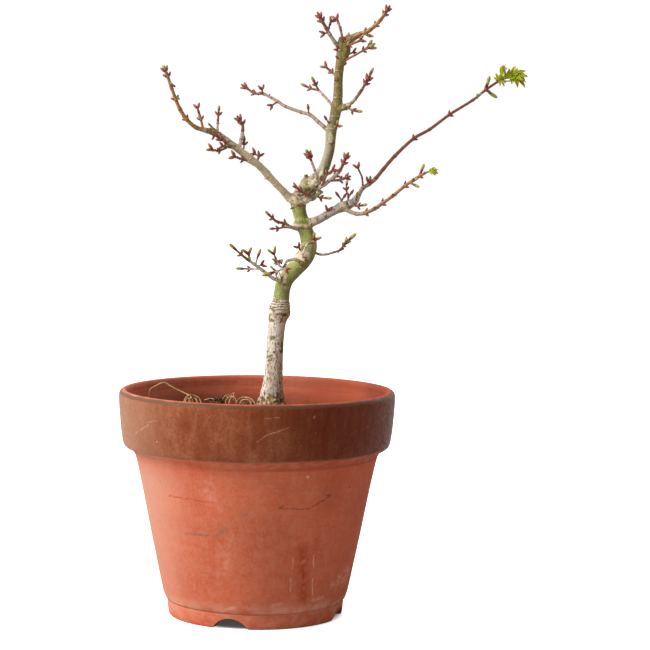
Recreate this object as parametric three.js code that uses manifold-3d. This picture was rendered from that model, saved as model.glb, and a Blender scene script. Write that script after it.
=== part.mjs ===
// A young maple bonsai of the lion's-head kind, just breaking bud, in a clay training pot.
// Millimetres, +Z up, the front of the tree towards -Y. Heights are above the table.
import * as THREE from 'three';
import { mergeVertices } from 'three/addons/utils/BufferGeometryUtils.js';
import Module from 'manifold-3d';

const wasm = await Module();
wasm.setup();

// Driving dimensions
const POT_DIAMETER = 150.2;
const POT_HEIGHT = 123.2;
const FOOT_DIAMETER = 94.2;
const FOOT_HEIGHT = 9.6;
const BAND_HEIGHT = 29.8;
const BODY_TOP_DIAMETER = 132.6;
const BODY_FOOT_DIAMETER = 100.4;
const MOUTH_DIAMETER = 140.6;
const INNER_FOOT_DIAMETER = 89;
const FLOOR_LEVEL = 13;
const FOOT_RECESS_DEPTH = 5;
const FOOT_RING_WIDTH = 9;
const DRAIN_DIAMETER = 20;
const NOTCH_COUNT = 4;
const NOTCH_WIDTH = 20;
const NOTCH_HEIGHT = 5.9;
const NOTCH_STEPS = 8;
const NOTCH_TURN = THREE.MathUtils.degToRad(-104.9);
const POT_SIDES = 64;

const SOIL_EDGE_LEVEL = 105;
const SOIL_MOUND_HEIGHT = 8.5;
const SOIL_MOUND_SPREAD = 22;
const SOIL_SIDES = 32;

const GAP = 0.3;
const BUD_LENGTH = 3.2;
const BUD_RADIUS = 0.85;
const TWIG_SIDES = 5;
const LEAF_THICKNESS = 0.6;

// Places on the tree are written as [across, up, depth]: across and up where they show on the
// upright plane through the pot's axis, seen from this point in front of it, and depth behind
// that plane along the same line of sight.
const EYE = new THREE.Vector3(36.4, -1292, 268.6);

const COLOURS = {
  clay: '#a8503a',
  soil: '#3a2a20',
  bark: '#b3a184',
  twig: '#7c3a30',
  leaf: '#7d9c1c',
  dryRoot: '#a98a5c',
  moss: '#4b4423',
};

function place([across, up, depth]) {
  const onPlane = new THREE.Vector3(across, 0, up);
  const sight = onPlane.sub(EYE);
  return sight.multiplyScalar((sight.y + depth) / sight.y).add(EYE);
}

// A repeatable draw between 0 and 1
function seeded(seed) {
  let state = seed;
  return () => {
    state = (state * 1664525 + 1013904223) % 4294967296;
    return state / 4294967296;
  };
}

// Closed solids

function solidFrom(geometry) {
  const bare = geometry.clone();
  bare.deleteAttribute('normal');
  bare.deleteAttribute('uv');
  const joined = mergeVertices(bare, 1e-5);
  return new wasm.Manifold(new wasm.Mesh({
    numProp: 3,
    vertProperties: Float32Array.from(joined.attributes.position.array),
    triVerts: Uint32Array.from(joined.index.array),
  }));
}

function geometryFrom(solid) {
  const { numProp, vertProperties, triVerts } = solid.getMesh();
  const places = new Float32Array((vertProperties.length / numProp) * 3);
  for (let i = 0; i < places.length / 3; i += 1) {
    places.set(vertProperties.subarray(i * numProp, i * numProp + 3), i * 3);
  }
  const geometry = new THREE.BufferGeometry();
  geometry.setAttribute('position', new THREE.BufferAttribute(places, 3));
  geometry.setIndex(Array.from(triVerts));
  return geometry;
}

const join = (solids) => solids.reduce((whole, piece) => whole.add(piece));

// The one body that is left when loose scraps are dropped
function mainBody(solid) {
  const bodies = solid.decompose();
  return bodies.reduce((best, body) => (body.volume() > best.volume() ? body : best));
}

// Rings of equal count, closed by a flat end or by one end point
function ringSolid(rings, start = null, end = null) {
  const sides = rings[0].length;
  const points = rings.flat();
  const faces = [];
  for (let ring = 0; ring + 1 < rings.length; ring += 1) {
    for (let side = 0; side < sides; side += 1) {
      const a = ring * sides + side;
      const b = ring * sides + ((side + 1) % sides);
      faces.push(a, b, b + sides, a, b + sides, a + sides);
    }
  }
  const last = (rings.length - 1) * sides;
  const startPoint = points.length;
  if (start) points.push(start);
  const endPoint = points.length;
  if (end) points.push(end);
  for (let side = 0; side < sides; side += 1) {
    const next = (side + 1) % sides;
    if (start) faces.push(next, side, startPoint);
    if (end) faces.push(last + side, last + next, endPoint);
  }
  for (let side = 1; side + 1 < sides; side += 1) {
    if (!start) faces.push(0, side + 1, side);
    if (!end) faces.push(last, last + side, last + side + 1);
  }
  const geometry = new THREE.BufferGeometry();
  geometry.setFromPoints(points);
  geometry.setIndex(faces);
  return solidFrom(geometry);
}

function ringAround(centre, side, across, radius, sides, shape = () => 1) {
  return Array.from({ length: sides }, (_, i) => {
    const angle = (i / sides) * 2 * Math.PI;
    const reach = radius * shape(angle, centre);
    return centre.clone()
      .addScaledVector(side, Math.cos(angle) * reach)
      .addScaledVector(across, Math.sin(angle) * reach);
  });
}

// A tapering stem through its points, with the frame carried along it without twisting
function stem(points, radii, { sides = TWIG_SIDES, stepsPerSpan = 1, grow = 0, shape } = {}) {
  const curve = new THREE.CatmullRomCurve3(points, false, 'centripetal');
  const steps = (points.length - 1) * stepsPerSpan;
  const side = new THREE.Vector3(0.9, 0.1, 0.42);
  const rings = [];
  for (let step = 0; step <= steps; step += 1) {
    const t = step / steps;
    const tangent = curve.getTangent(t);
    side.addScaledVector(tangent, -side.dot(tangent)).normalize();
    const across = tangent.clone().cross(side);
    const span = Math.min(Math.floor(t * (points.length - 1)), points.length - 2);
    const within = t * (points.length - 1) - span;
    const radius = THREE.MathUtils.lerp(radii[span], radii[span + 1], within) + grow;
    const centre = curve.getPoint(t);
    if (step === 0) centre.addScaledVector(tangent, -grow);
    if (step === steps) centre.addScaledVector(tangent, grow);
    rings.push(ringAround(centre, side.clone(), across, radius, sides, shape));
  }
  return ringSolid(rings);
}

// Wood: the trunk, its root flare and the limbs that are one with it

// [across, up, depth, radius] from the buried foot to the cut top
const TRUNK = [
  [7.5, 92, 0, 5], [7.5, 104, 0, 6.5], [7.5, 112, 0, 8.2], [7.6, 115.5, 0, 8], [7.9, 119.5, 0, 6.6],
  [8.4, 126, 0, 5.5], [8.8, 133, 0, 5], [9.1, 142, 0, 4.7], [9.6, 151, 0, 4.6],
  [10.3, 159, 0, 4.8], [11.2, 164.5, 0.5, 6], [12, 168, 1, 5.6], [12.4, 172, 1.5, 4.6],
  [13, 177.5, 2, 4.3], [14.6, 183, 1.5, 4.6], [19.4, 188.5, 0, 4.6], [24.4, 194.5, -2, 5],
  [26.7, 199.5, -3, 4.8], [27.1, 203, -2.5, 4.4], [25.8, 208.5, -2, 4], [24.2, 212.5, -1.5, 4.1],
  [22.6, 217, -1, 3.6], [21.6, 221, -1, 3.8], [21.4, 226, -1, 4.6], [24, 230.5, 0, 4.4],
  [28, 235, 1.5, 4], [32, 239, 3, 3.3], [34.6, 243, 4, 2.9], [36.2, 247.5, 4, 2.9],
  [37.8, 254, 4, 2.7], [38.5, 263.5, 3, 3], [40.3, 271, 2, 2.8], [41.4, 277.5, 1, 3.2],
  [41.8, 281, 0.5, 2.6], [42.1, 292, -0.5, 2.4], [42.9, 302, -1.5, 2.4], [43.3, 309.5, -2, 2.4],
  [43.9, 314, -2.5, 1.8],
];
const LEFT_LIMB = [
  [22, 225, -1, 2.6], [17, 227, -2.5, 2.5], [13.2, 230.6, -4, 2], [8.7, 235.1, -5.5, 1.9],
  [4.3, 239.7, -7, 2.2], [0.3, 244, -9, 1.9], [-5.5, 248.3, -11, 2.4], [-11.1, 252.8, -13, 2],
  [-18, 257.7, -15, 1.9], [-22, 260.5, -16, 1.9], [-25.5, 262.2, -17, 1.7], [-29, 263, -18, 1.6],
];
const RIGHT_LIMB = [
  [24, 213.3, -1, 2.6], [28.3, 214.2, -2, 2.6], [32, 215.6, -2, 2.2], [36, 217.8, -1.5, 2.2],
  [40, 220.2, -1, 2.2], [44, 222.4, -0.5, 2.8], [48.5, 224, 0, 2.5], [51.5, 225.8, 1, 2.2],
  [53.5, 229, 2, 1.6],
];
// Short woody stubs: [from, to, radius]
const STUBS = [
  [[-22, 261, -16], [-28, 267, -17], 0.7],
  [[26, 234, 2], [25, 240, 0], 1.3],
  [[4.5, 240, -7], [3.2, 237, -8], 0.8],
  [[17, 227, -2], [14.5, 225.6, -3], 0.8],
  [[11.5, 165, 0], [17.5, 164.6, 0], 1.6],
];
// Corky lumps where the limbs part: [across, up, depth, radius]
const LUMPS = [
  [20.5, 226, -3, 3.8], [25, 230.5, -3.5, 3.6], [28.2, 228.4, -1, 2.9], [25.2, 235.4, 1, 3],
  [30, 234.2, -1.5, 3.6], [46, 223.4, -1.5, 2.5], [24.2, 193.4, -5.5, 2.8], [22.5, 213, -2, 4],
];
// Surface roots: [direction in degrees, length, radius]
const ROOTS = [[200, 15, 2.6], [255, 13, 2.3], [320, 15, 2.6], [20, 13, 2.2], [95, 14, 2.4], [150, 12, 2]];
const TRUNK_SIDES = 11;
const LIMB_SIDES = 8;
const ROOT_START_LEVEL = 117.5;
const ROOT_END_LEVEL = 104;

const placesOf = (way) => way.map(place);
const radiiOf = (way) => way.map((joint) => joint[3]);

function lump([across, up, depth, radius], grow) {
  const ball = new THREE.IcosahedronGeometry(radius + grow, 1);
  const centre = place([across, up, depth]);
  ball.scale(1.08, 0.94, 0.98);
  ball.translate(centre.x, centre.y, centre.z);
  return solidFrom(ball);
}

function surfaceRoot([degrees, length, radius], grow) {
  const foot = place([TRUNK[3][0], 0, 0]);
  const angle = THREE.MathUtils.degToRad(degrees);
  const ahead = new THREE.Vector3(Math.cos(angle), Math.sin(angle), 0);
  const point = (reach, level) => ahead.clone().multiplyScalar(reach * length)
    .add(new THREE.Vector3(foot.x, foot.y, level));
  const rise = ROOT_START_LEVEL - ROOT_END_LEVEL;
  const points = [
    point(0.2, ROOT_START_LEVEL), point(0.5, ROOT_END_LEVEL + rise * 0.66),
    point(0.75, ROOT_END_LEVEL + rise * 0.4), point(1, ROOT_END_LEVEL),
  ];
  return stem(points, [radius, radius, radius * 0.8, radius * 0.5], { sides: 7, grow });
}

function woodSolid(grow = 0) {
  const ridges = (angle, centre) => 1 + 0.035 * Math.sin(angle * 3 + centre.z * 0.16);
  const trunk = stem(placesOf(TRUNK), radiiOf(TRUNK), {
    sides: TRUNK_SIDES, stepsPerSpan: 1, grow, shape: ridges,
  });
  const limbs = [LEFT_LIMB, RIGHT_LIMB].map((way) => (
    stem(placesOf(way), radiiOf(way), { sides: LIMB_SIDES, grow })
  ));
  const stubs = STUBS.map(([from, to, radius]) => (
    stem([place(from), place(to)], [radius, radius * 0.8], { grow })
  ));
  const lumps = LUMPS.map((each) => lump(each, grow));
  const roots = ROOTS.map((each) => surfaceRoot(each, grow));
  return join([trunk, ...limbs, ...stubs, ...lumps, ...roots]);
}

// Shoots: each is a list of stems with the joints where its buds stand in pairs.
// way: joints, width: [at its foot, at its tip], from: first joint with a pair of buds,
// tip: what ends it, ripe: length of the tip's buds against the rest
const SHOOTS = {
  left_end: [
    { way: [[-29, 263, -18], [-34.5, 264, -19.5], [-40.5, 269, -21.5], [-44, 274, -23], [-46, 278, -24],
      [-49, 286, -26], [-51, 292, -27.5], [-52.5, 295, -28]], width: [3.1, 1.9], from: 2, tip: 'crown' },
    { way: [[-31.5, 263.5, -18.5], [-33.5, 270, -17], [-34.5, 273.5, -16]], width: [1.6, 1.3], from: 1,
      tip: 'fork' },
  ],
  left_bud: [
    { way: [[-22, 260.5, -16], [-25, 260, -21]], width: [1.5, 1.2], from: 9, tip: 'fork' },
  ],
  left_outer: [
    { way: [[-24, 261.5, -16.5], [-24, 268.5, -15.5], [-23.5, 272, -15]], width: [1.8, 1.3], from: 1,
      tip: 'fork' },
  ],
  left_upright: [
    { way: [[-11.3, 253.5, -13], [-11.5, 259, -12], [-11.2, 263.5, -11.5], [-12.6, 267, -11]],
      width: [2.3, 1.5], from: 1, tip: 'crown' },
  ],
  left_under: [
    { way: [[-12.5, 254, -13.5], [-18, 253, -18.5], [-21, 253.7, -21]], width: [1.9, 1.4], from: 9,
      tip: 'fork' },
    { way: [[-17, 253, -17.5], [-22, 251.7, -20], [-26.5, 252.3, -23]], width: [1.5, 1.2], from: 1,
      tip: 'fork' },
    { way: [[-17.5, 253, -18], [-20.3, 255.6, -19]], width: [1.3, 1.1], from: 9, tip: 'fork' },
  ],
  left_low: [
    { way: [[-4, 248.2, -10.5], [-8.5, 246.2, -14], [-12, 247, -16.5], [-14.5, 248.3, -18]],
      width: [1.8, 1.3], from: 1, tip: 'fork' },
  ],
  left_inner: [
    { way: [[-3, 247.5, -10], [-0.8, 250.4, -7]], width: [1.8, 1.4], from: 9, tip: 'fork' },
    { way: [[-1.6, 249.2, -8], [-3.6, 250.4, -6]], width: [1.4, 1.2], from: 9, tip: 'fork' },
  ],
  upper_left: [
    { way: [[38.5, 262, 3], [34.5, 265.8, 5], [31.5, 268.3, 7], [27, 272, 10], [22, 273.5, 13],
      [13.5, 276.5, 17], [9.5, 279, 19], [6, 281, 21], [1.5, 283, 23], [-3, 283.3, 24.5],
      [-8, 286.5, 26]], width: [3, 1.6], from: 8, tip: 'crown' },
    { way: [[1.5, 283, 23], [0.8, 286, 22]], width: [1.4, 1.2], from: 9, tip: 'bud' },
    { way: [[9.5, 279, 19], [6, 276.6, 17]], width: [1.5, 1.2], from: 9, tip: 'fork' },
    { way: [[26.4, 272, 10], [26, 275.2, 9]], width: [1.3, 1], from: 9, tip: 'bud' },
  ],
  upper_left_2: [
    { way: [[40.5, 274.5, 1.5], [35.5, 279, 4], [33, 281.5, 6], [30.5, 285, 8], [26, 285.6, 10],
      [23.5, 286.7, 11]], width: [1.9, 1.4], from: 4, tip: 'fork' },
    { way: [[30.5, 285, 8], [28.5, 287, 7], [27.8, 289, 6.5]], width: [1.5, 1.2], from: 1, tip: 'bud' },
  ],
  upper_left_3: [
    { way: [[42, 291, 0], [39, 293.2, 1.5], [37, 294.5, 2.5], [35, 296, 4]], width: [1.7, 1.3], from: 1,
      tip: 'fork' },
  ],
  front_spur: [
    { way: [[39, 264, 1], [41.3, 266.3, -2]], width: [1.5, 1.3], from: 9, tip: 'fork' },
  ],
  dark_spur: [
    { way: [[38.8, 266, 2], [36.8, 268.3, 0.2], [35.8, 269.8, -1]], width: [1.1, 1], from: 9,
      tip: 'bud' },
  ],
  top_left: [
    { way: [[43, 306.5, -2], [38.5, 311, -3.5], [36, 314, -4.5], [34, 316.5, -5.5], [32.5, 319, -6.5],
      [30.5, 321.5, -7.5], [29.7, 323.7, -8]], width: [2.6, 1.9], from: 3, tip: 'crown' },
    { way: [[35, 315.5, -5], [35.6, 318.6, -3.5], [36.1, 320.8, -2.5]], width: [1.3, 1.1], from: 1,
      tip: 'fork' },
  ],
  top_back: [
    { way: [[43.5, 313, -2], [42, 316.5, 0], [40, 320.3, 3], [38.5, 322.5, 4.5]], width: [1.8, 1.4],
      from: 2, tip: 'crown' },
  ],
  top_right: [
    { way: [[43.4, 311, -2], [48.5, 313.5, -4], [52, 315.2, -5.5], [55, 316.3, -6.5], [57, 318, -7.5],
      [60, 320.5, -9], [62.5, 323, -10.5], [65, 326, -12], [67.2, 329.4, -13.5]], width: [2.9, 1.9],
    from: 1, tip: 'crown', ripe: 1.2 },
  ],
  top_red: [
    { way: [[43.2, 308.5, -2], [46.5, 309.8, -6], [49.5, 311, -9], [51.5, 311.4, -10.5]],
      width: [1.7, 1.4], from: 1, tip: 'fork' },
  ],
  top_small: [
    { way: [[43, 302.5, -1], [46.5, 304.6, 1.5], [49, 306.2, 3]], width: [1.5, 1.3], from: 1,
      tip: 'fork' },
  ],
  top_low: [
    { way: [[42.7, 299.5, -1], [48, 303.8, -4], [51.5, 305.5, -6], [55, 307, -8], [58, 309.2, -10]],
      width: [1.8, 1.5], from: 2, tip: 'crown' },
  ],
  right_mid: [
    { way: [[41.8, 276, 1], [46.5, 277.3, -1.5], [48.5, 279.5, -2.5], [52, 284, -4], [54, 287.3, -5],
      [56, 290.5, -6], [57.2, 293.3, -6.5]], width: [3.6, 1.7], from: 3, tip: 'crown' },
    { way: [[46.5, 277.3, -1.5], [50.5, 275, -4]], width: [1.5, 1.2], from: 9, tip: 'fork' },
  ],
  centre_spur: [
    { way: [[32, 235, -3], [30.3, 238.5, -8], [28.5, 242.5, -10], [27, 245.5, -11.5],
      [25.8, 248.3, -12.5], [24.4, 250.3, -13.3]], width: [2, 1.5], from: 4, tip: 'crown' },
  ],
  right_cluster: [
    { way: [[31, 232, -2], [35.5, 235, -6], [38, 237, -7.5], [41, 239.5, -8.5], [43.5, 242.5, -9.5],
      [45.2, 246, -10.5], [46.5, 249.3, -11.5]], width: [3, 1.8], from: 3, tip: 'crown' },
    { way: [[38, 237, -7.5], [43.5, 237.2, -10.5], [47, 238.6, -12.5]], width: [2, 1.6], from: 1,
      tip: 'crown' },
    { way: [[34, 234, -5], [35.6, 238.3, -10.5], [37, 240.8, -12.5]], width: [1.8, 1.4], from: 9,
      tip: 'fork' },
    { way: [[37, 240.8, -12.5], [40, 242.8, -14]], width: [1.4, 1.2], from: 9, tip: 'fork' },
  ],
  left_cluster: [
    { way: [[29, 230, -3], [28.4, 229.2, -6.8], [25.8, 228.9, -9], [22.6, 230.9, -10],
      [19.8, 233.2, -11]], width: [1.7, 1.3], from: 2, tip: 'fork' },
  ],
  knot_spur: [
    { way: [[29.5, 229, -1], [33, 227.5, -3], [35.8, 227.4, -4.5]], width: [1.3, 1.2], from: 1,
      tip: 'bud', ripe: 1.3 },
  ],
  limb_pair: [
    { way: [[36.3, 218, -1.5], [37.2, 221.2, -3]], width: [1.4, 1.2], from: 9, tip: 'fork' },
  ],
  limb_spur: [
    { way: [[44, 223, -0.5], [43, 227, -1.5]], width: [1.5, 1.2], from: 9, tip: 'fork' },
  ],
  limb_upright: [
    { way: [[47, 223.8, 0], [47.3, 228.5, 1], [47, 231.5, 2], [46.7, 234.3, 2.5]], width: [1.4, 1.1],
      from: 1, tip: 'bud' },
  ],
  limb_green: [
    { way: [[51.6, 225.5, 0], [52, 229.5, -3.5]], width: [1.4, 1.3], from: 9, tip: 'bud', ripe: 1.5 },
  ],
  limb_low: [
    { way: [[49, 223.8, -0.5], [53, 223.4, -4.5], [55, 223.7, -6]], width: [1.4, 1.2], from: 1,
      tip: 'bud', ripe: 1.2 },
  ],
  long_shoot: [
    { way: [[53.5, 229, 2], [56, 233, 4], [59.5, 235.3, 5.5], [63, 238.5, 7.5], [67, 243.5, 10],
      [73, 250.5, 13], [83, 260, 17], [91.5, 265, 20], [102, 273, 23.5], [114.5, 281, 27],
      [121.3, 286.5, 29], [128, 291.2, 30.5]], width: [3.1, 1.7], from: 5, tip: 'none' },
    { way: [[121.3, 286.5, 29], [122, 289.5, 28.5]], width: [1.4, 1.4], from: 9, tip: 'bud', ripe: 1.7 },
    { way: [[121.3, 286.5, 29], [124, 284.8, 29]], width: [1.4, 1.4], from: 9, tip: 'bud', ripe: 1.6 },
    { way: [[56, 233, 4], [54.2, 239.5, 2.5], [52.3, 244, 1.5]], width: [1.6, 1.3], from: 9,
      tip: 'fork', ripe: 1.3 },
    { way: [[57.5, 234.3, 4.8], [58.2, 237.6, 4]], width: [1.3, 1.2], from: 9, tip: 'fork' },
  ],
  lower_shoot: [
    { way: [[44.5, 222.3, -1], [49, 220.3, -5], [53, 219, -7], [57.5, 220, -9], [62.5, 222.5, -12],
      [66.5, 225.5, -14], [71, 229, -17], [76, 233, -20], [81.5, 237, -23], [86, 240.7, -25.5],
      [89.5, 242.2, -27]], width: [2.6, 1.7], from: 3, tip: 'none' },
    { way: [[85.5, 240.5, -25.3], [86.6, 243.6, -25]], width: [1.4, 1.3], from: 9, tip: 'bud',
      ripe: 1.5 },
    { way: [[80.5, 236.3, -22.5], [82.7, 235.5, -23.5]], width: [1.3, 1.2], from: 9, tip: 'bud',
      ripe: 1.3 },
  ],
  left_mid: [
    { way: [[25, 210.2, -2], [20.5, 210.6, -5.5], [16.5, 211.7, -8], [14.3, 213.3, -10],
      [10, 214.2, -13], [7.5, 216, -15], [5.8, 217.6, -16.5]], width: [2.7, 1.3], from: 3,
    tip: 'bud', ripe: 1.3 },
    { way: [[18.5, 211, -6.8], [13.5, 211.3, -6], [10.5, 210.6, -7], [8, 210.5, -8]],
      width: [1.6, 1.1], from: 2, tip: 'bud' },
  ],
  v_spur: [
    { way: [[24, 197.5, -4], [20.8, 200.6, -7.5]], width: [1.4, 1.2], from: 9, tip: 'fork' },
  ],
  front_shoot: [
    { way: [[24.5, 193.5, -6], [23.4, 197, -9.5], [25, 201.2, -10.5], [28.3, 203.5, -11.5],
      [29.7, 205.8, -12.5]], width: [1.6, 1.3], from: 3, tip: 'fork', ripe: 1.2 },
  ],
  right_small: [
    { way: [[27.5, 199, -3], [33, 196.9, -4], [37, 197, -6], [41, 198.2, -8], [44, 199.3, -9.5],
      [45.7, 201.5, -10.5], [47.5, 203.8, -11.5]], width: [2, 1.4], from: 4, tip: 'crown' },
  ],
  low_left_1: [
    { way: [[14, 181.5, 0], [8, 184.2, -3.5], [2, 188, -8], [-2.5, 191, -12], [-7.5, 194, -16],
      [-10.5, 196, -18], [-12.7, 198.3, -20]], width: [2.6, 1.4], from: 4, tip: 'bud', ripe: 1.5 },
    { way: [[-5, 192.5, -14], [-6, 195.5, -15], [-7.2, 198, -15.7]], width: [1.5, 1.3], from: 1,
      tip: 'fork', ripe: 1.2 },
    { way: [[-2.5, 191, -12], [-1.3, 194.6, -11]], width: [1.4, 1.2], from: 9, tip: 'bud', ripe: 1.4 },
    { way: [[0, 189.5, -10], [2, 190.8, -12]], width: [1.3, 1.1], from: 9, tip: 'fork' },
    { way: [[2, 188, -8], [-4, 188.2, -9], [-8.5, 188.4, -10]], width: [1.4, 1.2], from: 1, tip: 'bud',
      ripe: 1.5 },
  ],
  low_left_2: [
    { way: [[22.5, 192.5, -4], [20, 193.5, -9.5], [15.3, 193.1, -14], [13.7, 191, -15.5],
      [12.5, 188.7, -16.5]], width: [2.1, 1.6], from: 9, tip: 'fork' },
    { way: [[13.4, 190.4, -15.8], [11, 190.6, -17], [8.7, 194.3, -17.5], [7.3, 197.4, -18]],
      width: [1.4, 1.3], from: 1, tip: 'crown' },
    { way: [[13, 189.4, -16], [9.5, 187.2, -18], [6.5, 186, -19]], width: [1.6, 1.3], from: 1,
      tip: 'fork', ripe: 1.3 },
  ],
};

// A twig has four sides, so that a pair of buds grows out of two opposite sides, and the next
// pair out of the other two, as on every maple.
const NODE_HALF = 0.6;
const PAIR_LEAN = 0.75;
const TIP_LEAN = 0.64;
const BUD_STEP = 1.5;
const CORNERS = 4;

// How a stem ends: pairs of buds close to its tip, and a bud that ends it
const TIPS = {
  none: { pairs: 0, ended: false },
  bud: { pairs: 0, ended: true },
  fork: { pairs: 1, ended: false },
  crown: { pairs: 1, ended: true },
};

// The twig's rings, each with what grows between it and the next
function twigRings({ way, width, from, tip, ripe = 1 }, draw, grow) {
  const points = placesOf(way);
  const last = points.length - 1;
  const rings = [];
  const side = new THREE.Vector3(0, 1, 0);
  const thickAt = (joint) => THREE.MathUtils.lerp(width[0], width[1], joint / last) / 2 + grow;
  let turned = 0;
  points.forEach((point, joint) => {
    const ahead = points[Math.min(joint + 1, last)].clone()
      .sub(points[Math.max(joint - 1, 0)]).normalize();
    side.addScaledVector(ahead, -side.dot(ahead)).normalize();
    const frame = { ahead, side: side.clone(), across: ahead.clone().cross(side) };
    const ringAt = (reach, growing = null) => rings.push({
      ...frame, centre: point.clone().addScaledVector(ahead, reach), radius: thickAt(joint), growing,
    });
    const pair = (lean, size) => {
      turned += 1;
      return { facet: turned % 2, lean, size: size * (0.88 + draw() * 0.24) };
    };
    const half = NODE_HALF + grow;
    if (joint === last) {
      for (let each = TIPS[tip].pairs; each > 0; each -= 1) {
        ringAt(-BUD_STEP * (each - 1) - 2 * half, pair(TIP_LEAN, 1.12 * ripe));
      }
      ringAt(0);
    } else if (joint === 0) {
      ringAt(-grow);
    } else if (joint >= from) {
      ringAt(-half, pair(PAIR_LEAN, 1));
      ringAt(half);
    } else {
      ringAt(0);
    }
  });
  return rings;
}

function twigSolid(twig, draw, grow) {
  const rings = twigRings(twig, draw, grow);
  const points = [];
  const faces = [];
  const quad = (a, b, c, d) => faces.push(a, b, c, a, c, d);
  const budOn = (corners, { ahead }, out, across, { size }) => {
    const root = corners.reduce((sum, i) => sum.add(points[i]), new THREE.Vector3()).divideScalar(CORNERS);
    const over = ahead.clone().addScaledVector(out, -ahead.dot(out)).normalize();
    const wide = (BUD_RADIUS * size + grow) * Math.SQRT1_2 * 1.2;
    const belly = points.length;
    [[-1, -1], [1, -1], [1, 1], [-1, 1]].forEach(([left, up]) => {
      points.push(root.clone().addScaledVector(out, BUD_LENGTH * size * 0.46)
        .addScaledVector(across, left * wide).addScaledVector(over, up * wide));
    });
    points.push(root.clone().addScaledVector(out, BUD_LENGTH * size + 2 * grow));
    for (let i = 0; i < CORNERS; i += 1) {
      const next = (i + 1) % CORNERS;
      quad(corners[i], corners[next], belly + next, belly + i);
      faces.push(belly + i, belly + next, belly + CORNERS);
    }
  };
  rings.forEach(({ centre, side, across, radius }) => {
    for (let corner = 0; corner < CORNERS; corner += 1) {
      const angle = ((corner + 0.5) / CORNERS) * 2 * Math.PI;
      points.push(centre.clone().addScaledVector(side, Math.cos(angle) * radius * 1.15)
        .addScaledVector(across, Math.sin(angle) * radius * 1.15));
    }
  });
  rings.slice(0, -1).forEach((ring, index) => {
    for (let facet = 0; facet < CORNERS; facet += 1) {
      const a = index * CORNERS + facet;
      const b = index * CORNERS + ((facet + 1) % CORNERS);
      if (ring.growing && facet % 2 === ring.growing.facet) {
        const angle = ((facet + 1) / CORNERS) * 2 * Math.PI;
        const out = ring.side.clone().multiplyScalar(Math.cos(angle))
          .addScaledVector(ring.across, Math.sin(angle));
        const leaning = ring.ahead.clone().multiplyScalar(Math.cos(ring.growing.lean))
          .addScaledVector(out, Math.sin(ring.growing.lean));
        const along = ring.ahead.clone().cross(out);
        budOn([a, b, b + CORNERS, a + CORNERS], ring, leaning, along, ring.growing);
      } else {
        quad(a, b, b + CORNERS, a + CORNERS);
      }
    }
  });
  const end = rings[rings.length - 1];
  const lastRing = (rings.length - 1) * CORNERS;
  quad(3, 2, 1, 0);
  const { ripe = 1 } = twig;
  if (TIPS[twig.tip].ended) {
    const corners = [0, 1, 2, 3].map((i) => lastRing + i);
    const across = end.side.clone().add(end.across).normalize();
    const size = ripe * (1 + draw() * 0.2);
    const over = end.ahead.clone().cross(across);
    budOn(corners, { ahead: over }, end.ahead, across, { size });
  } else {
    points.push(end.centre.clone().addScaledVector(end.ahead, 0.5 + grow));
    for (let i = 0; i < CORNERS; i += 1) {
      faces.push(lastRing + i, lastRing + ((i + 1) % CORNERS), points.length - 1);
    }
  }
  const geometry = new THREE.BufferGeometry();
  geometry.setFromPoints(points);
  geometry.setIndex(faces);
  return solidFrom(geometry);
}

function shootSolid(stems, seed, grow = 0) {
  const draw = seeded(seed);
  return join(stems.map((each) => twigSolid(each, draw, grow)));
}

// Leaves: small hand-shaped blades with toothed lobes, arched and turned out of their bud

const LOBES = 5;
const LOBE_SPREAD = THREE.MathUtils.degToRad(118);

function leafShape(length) {
  const shape = new THREE.Shape();
  shape.moveTo(0.06 * length, 0);
  for (let lobe = 0; lobe < LOBES; lobe += 1) {
    const across = (lobe / (LOBES - 1) - 0.5) * 2;
    const angle = Math.PI / 2 + across * (LOBE_SPREAD / 2);
    const reach = length * (1 - 0.34 * Math.abs(across));
    const half = LOBE_SPREAD / (LOBES - 1) / 2;
    const point = (share, turn) => [
      Math.cos(angle + turn) * reach * share, Math.sin(angle + turn) * reach * share,
    ];
    if (lobe > 0) shape.lineTo(...point(0.46, -half));
    shape.lineTo(...point(0.66, -half * 0.68));
    shape.lineTo(...point(1, 0));
  }
  shape.lineTo(-0.06 * length, 0);
  return shape;
}

// root: where the stalk meets the blade, ahead: the middle lobe's direction, face: its upper side
function leaf(root, ahead, face, length, grow) {
  const blade = new THREE.ExtrudeGeometry(leafShape(length + grow * 2), {
    depth: LEAF_THICKNESS + grow * 2, bevelEnabled: false,
  });
  const places = blade.attributes.position;
  for (let i = 0; i < places.count; i += 1) {
    const x = places.getX(i);
    const y = places.getY(i);
    places.setZ(i, places.getZ(i) - grow - (x * x + y * y * 0.6) * 0.05 + Math.abs(x) * 0.25);
  }
  const up = face.clone().addScaledVector(ahead, -face.dot(ahead)).normalize();
  const across = ahead.clone().cross(up);
  blade.applyMatrix4(new THREE.Matrix4().makeBasis(across, ahead, up).setPosition(root));
  return solidFrom(blade);
}

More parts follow.
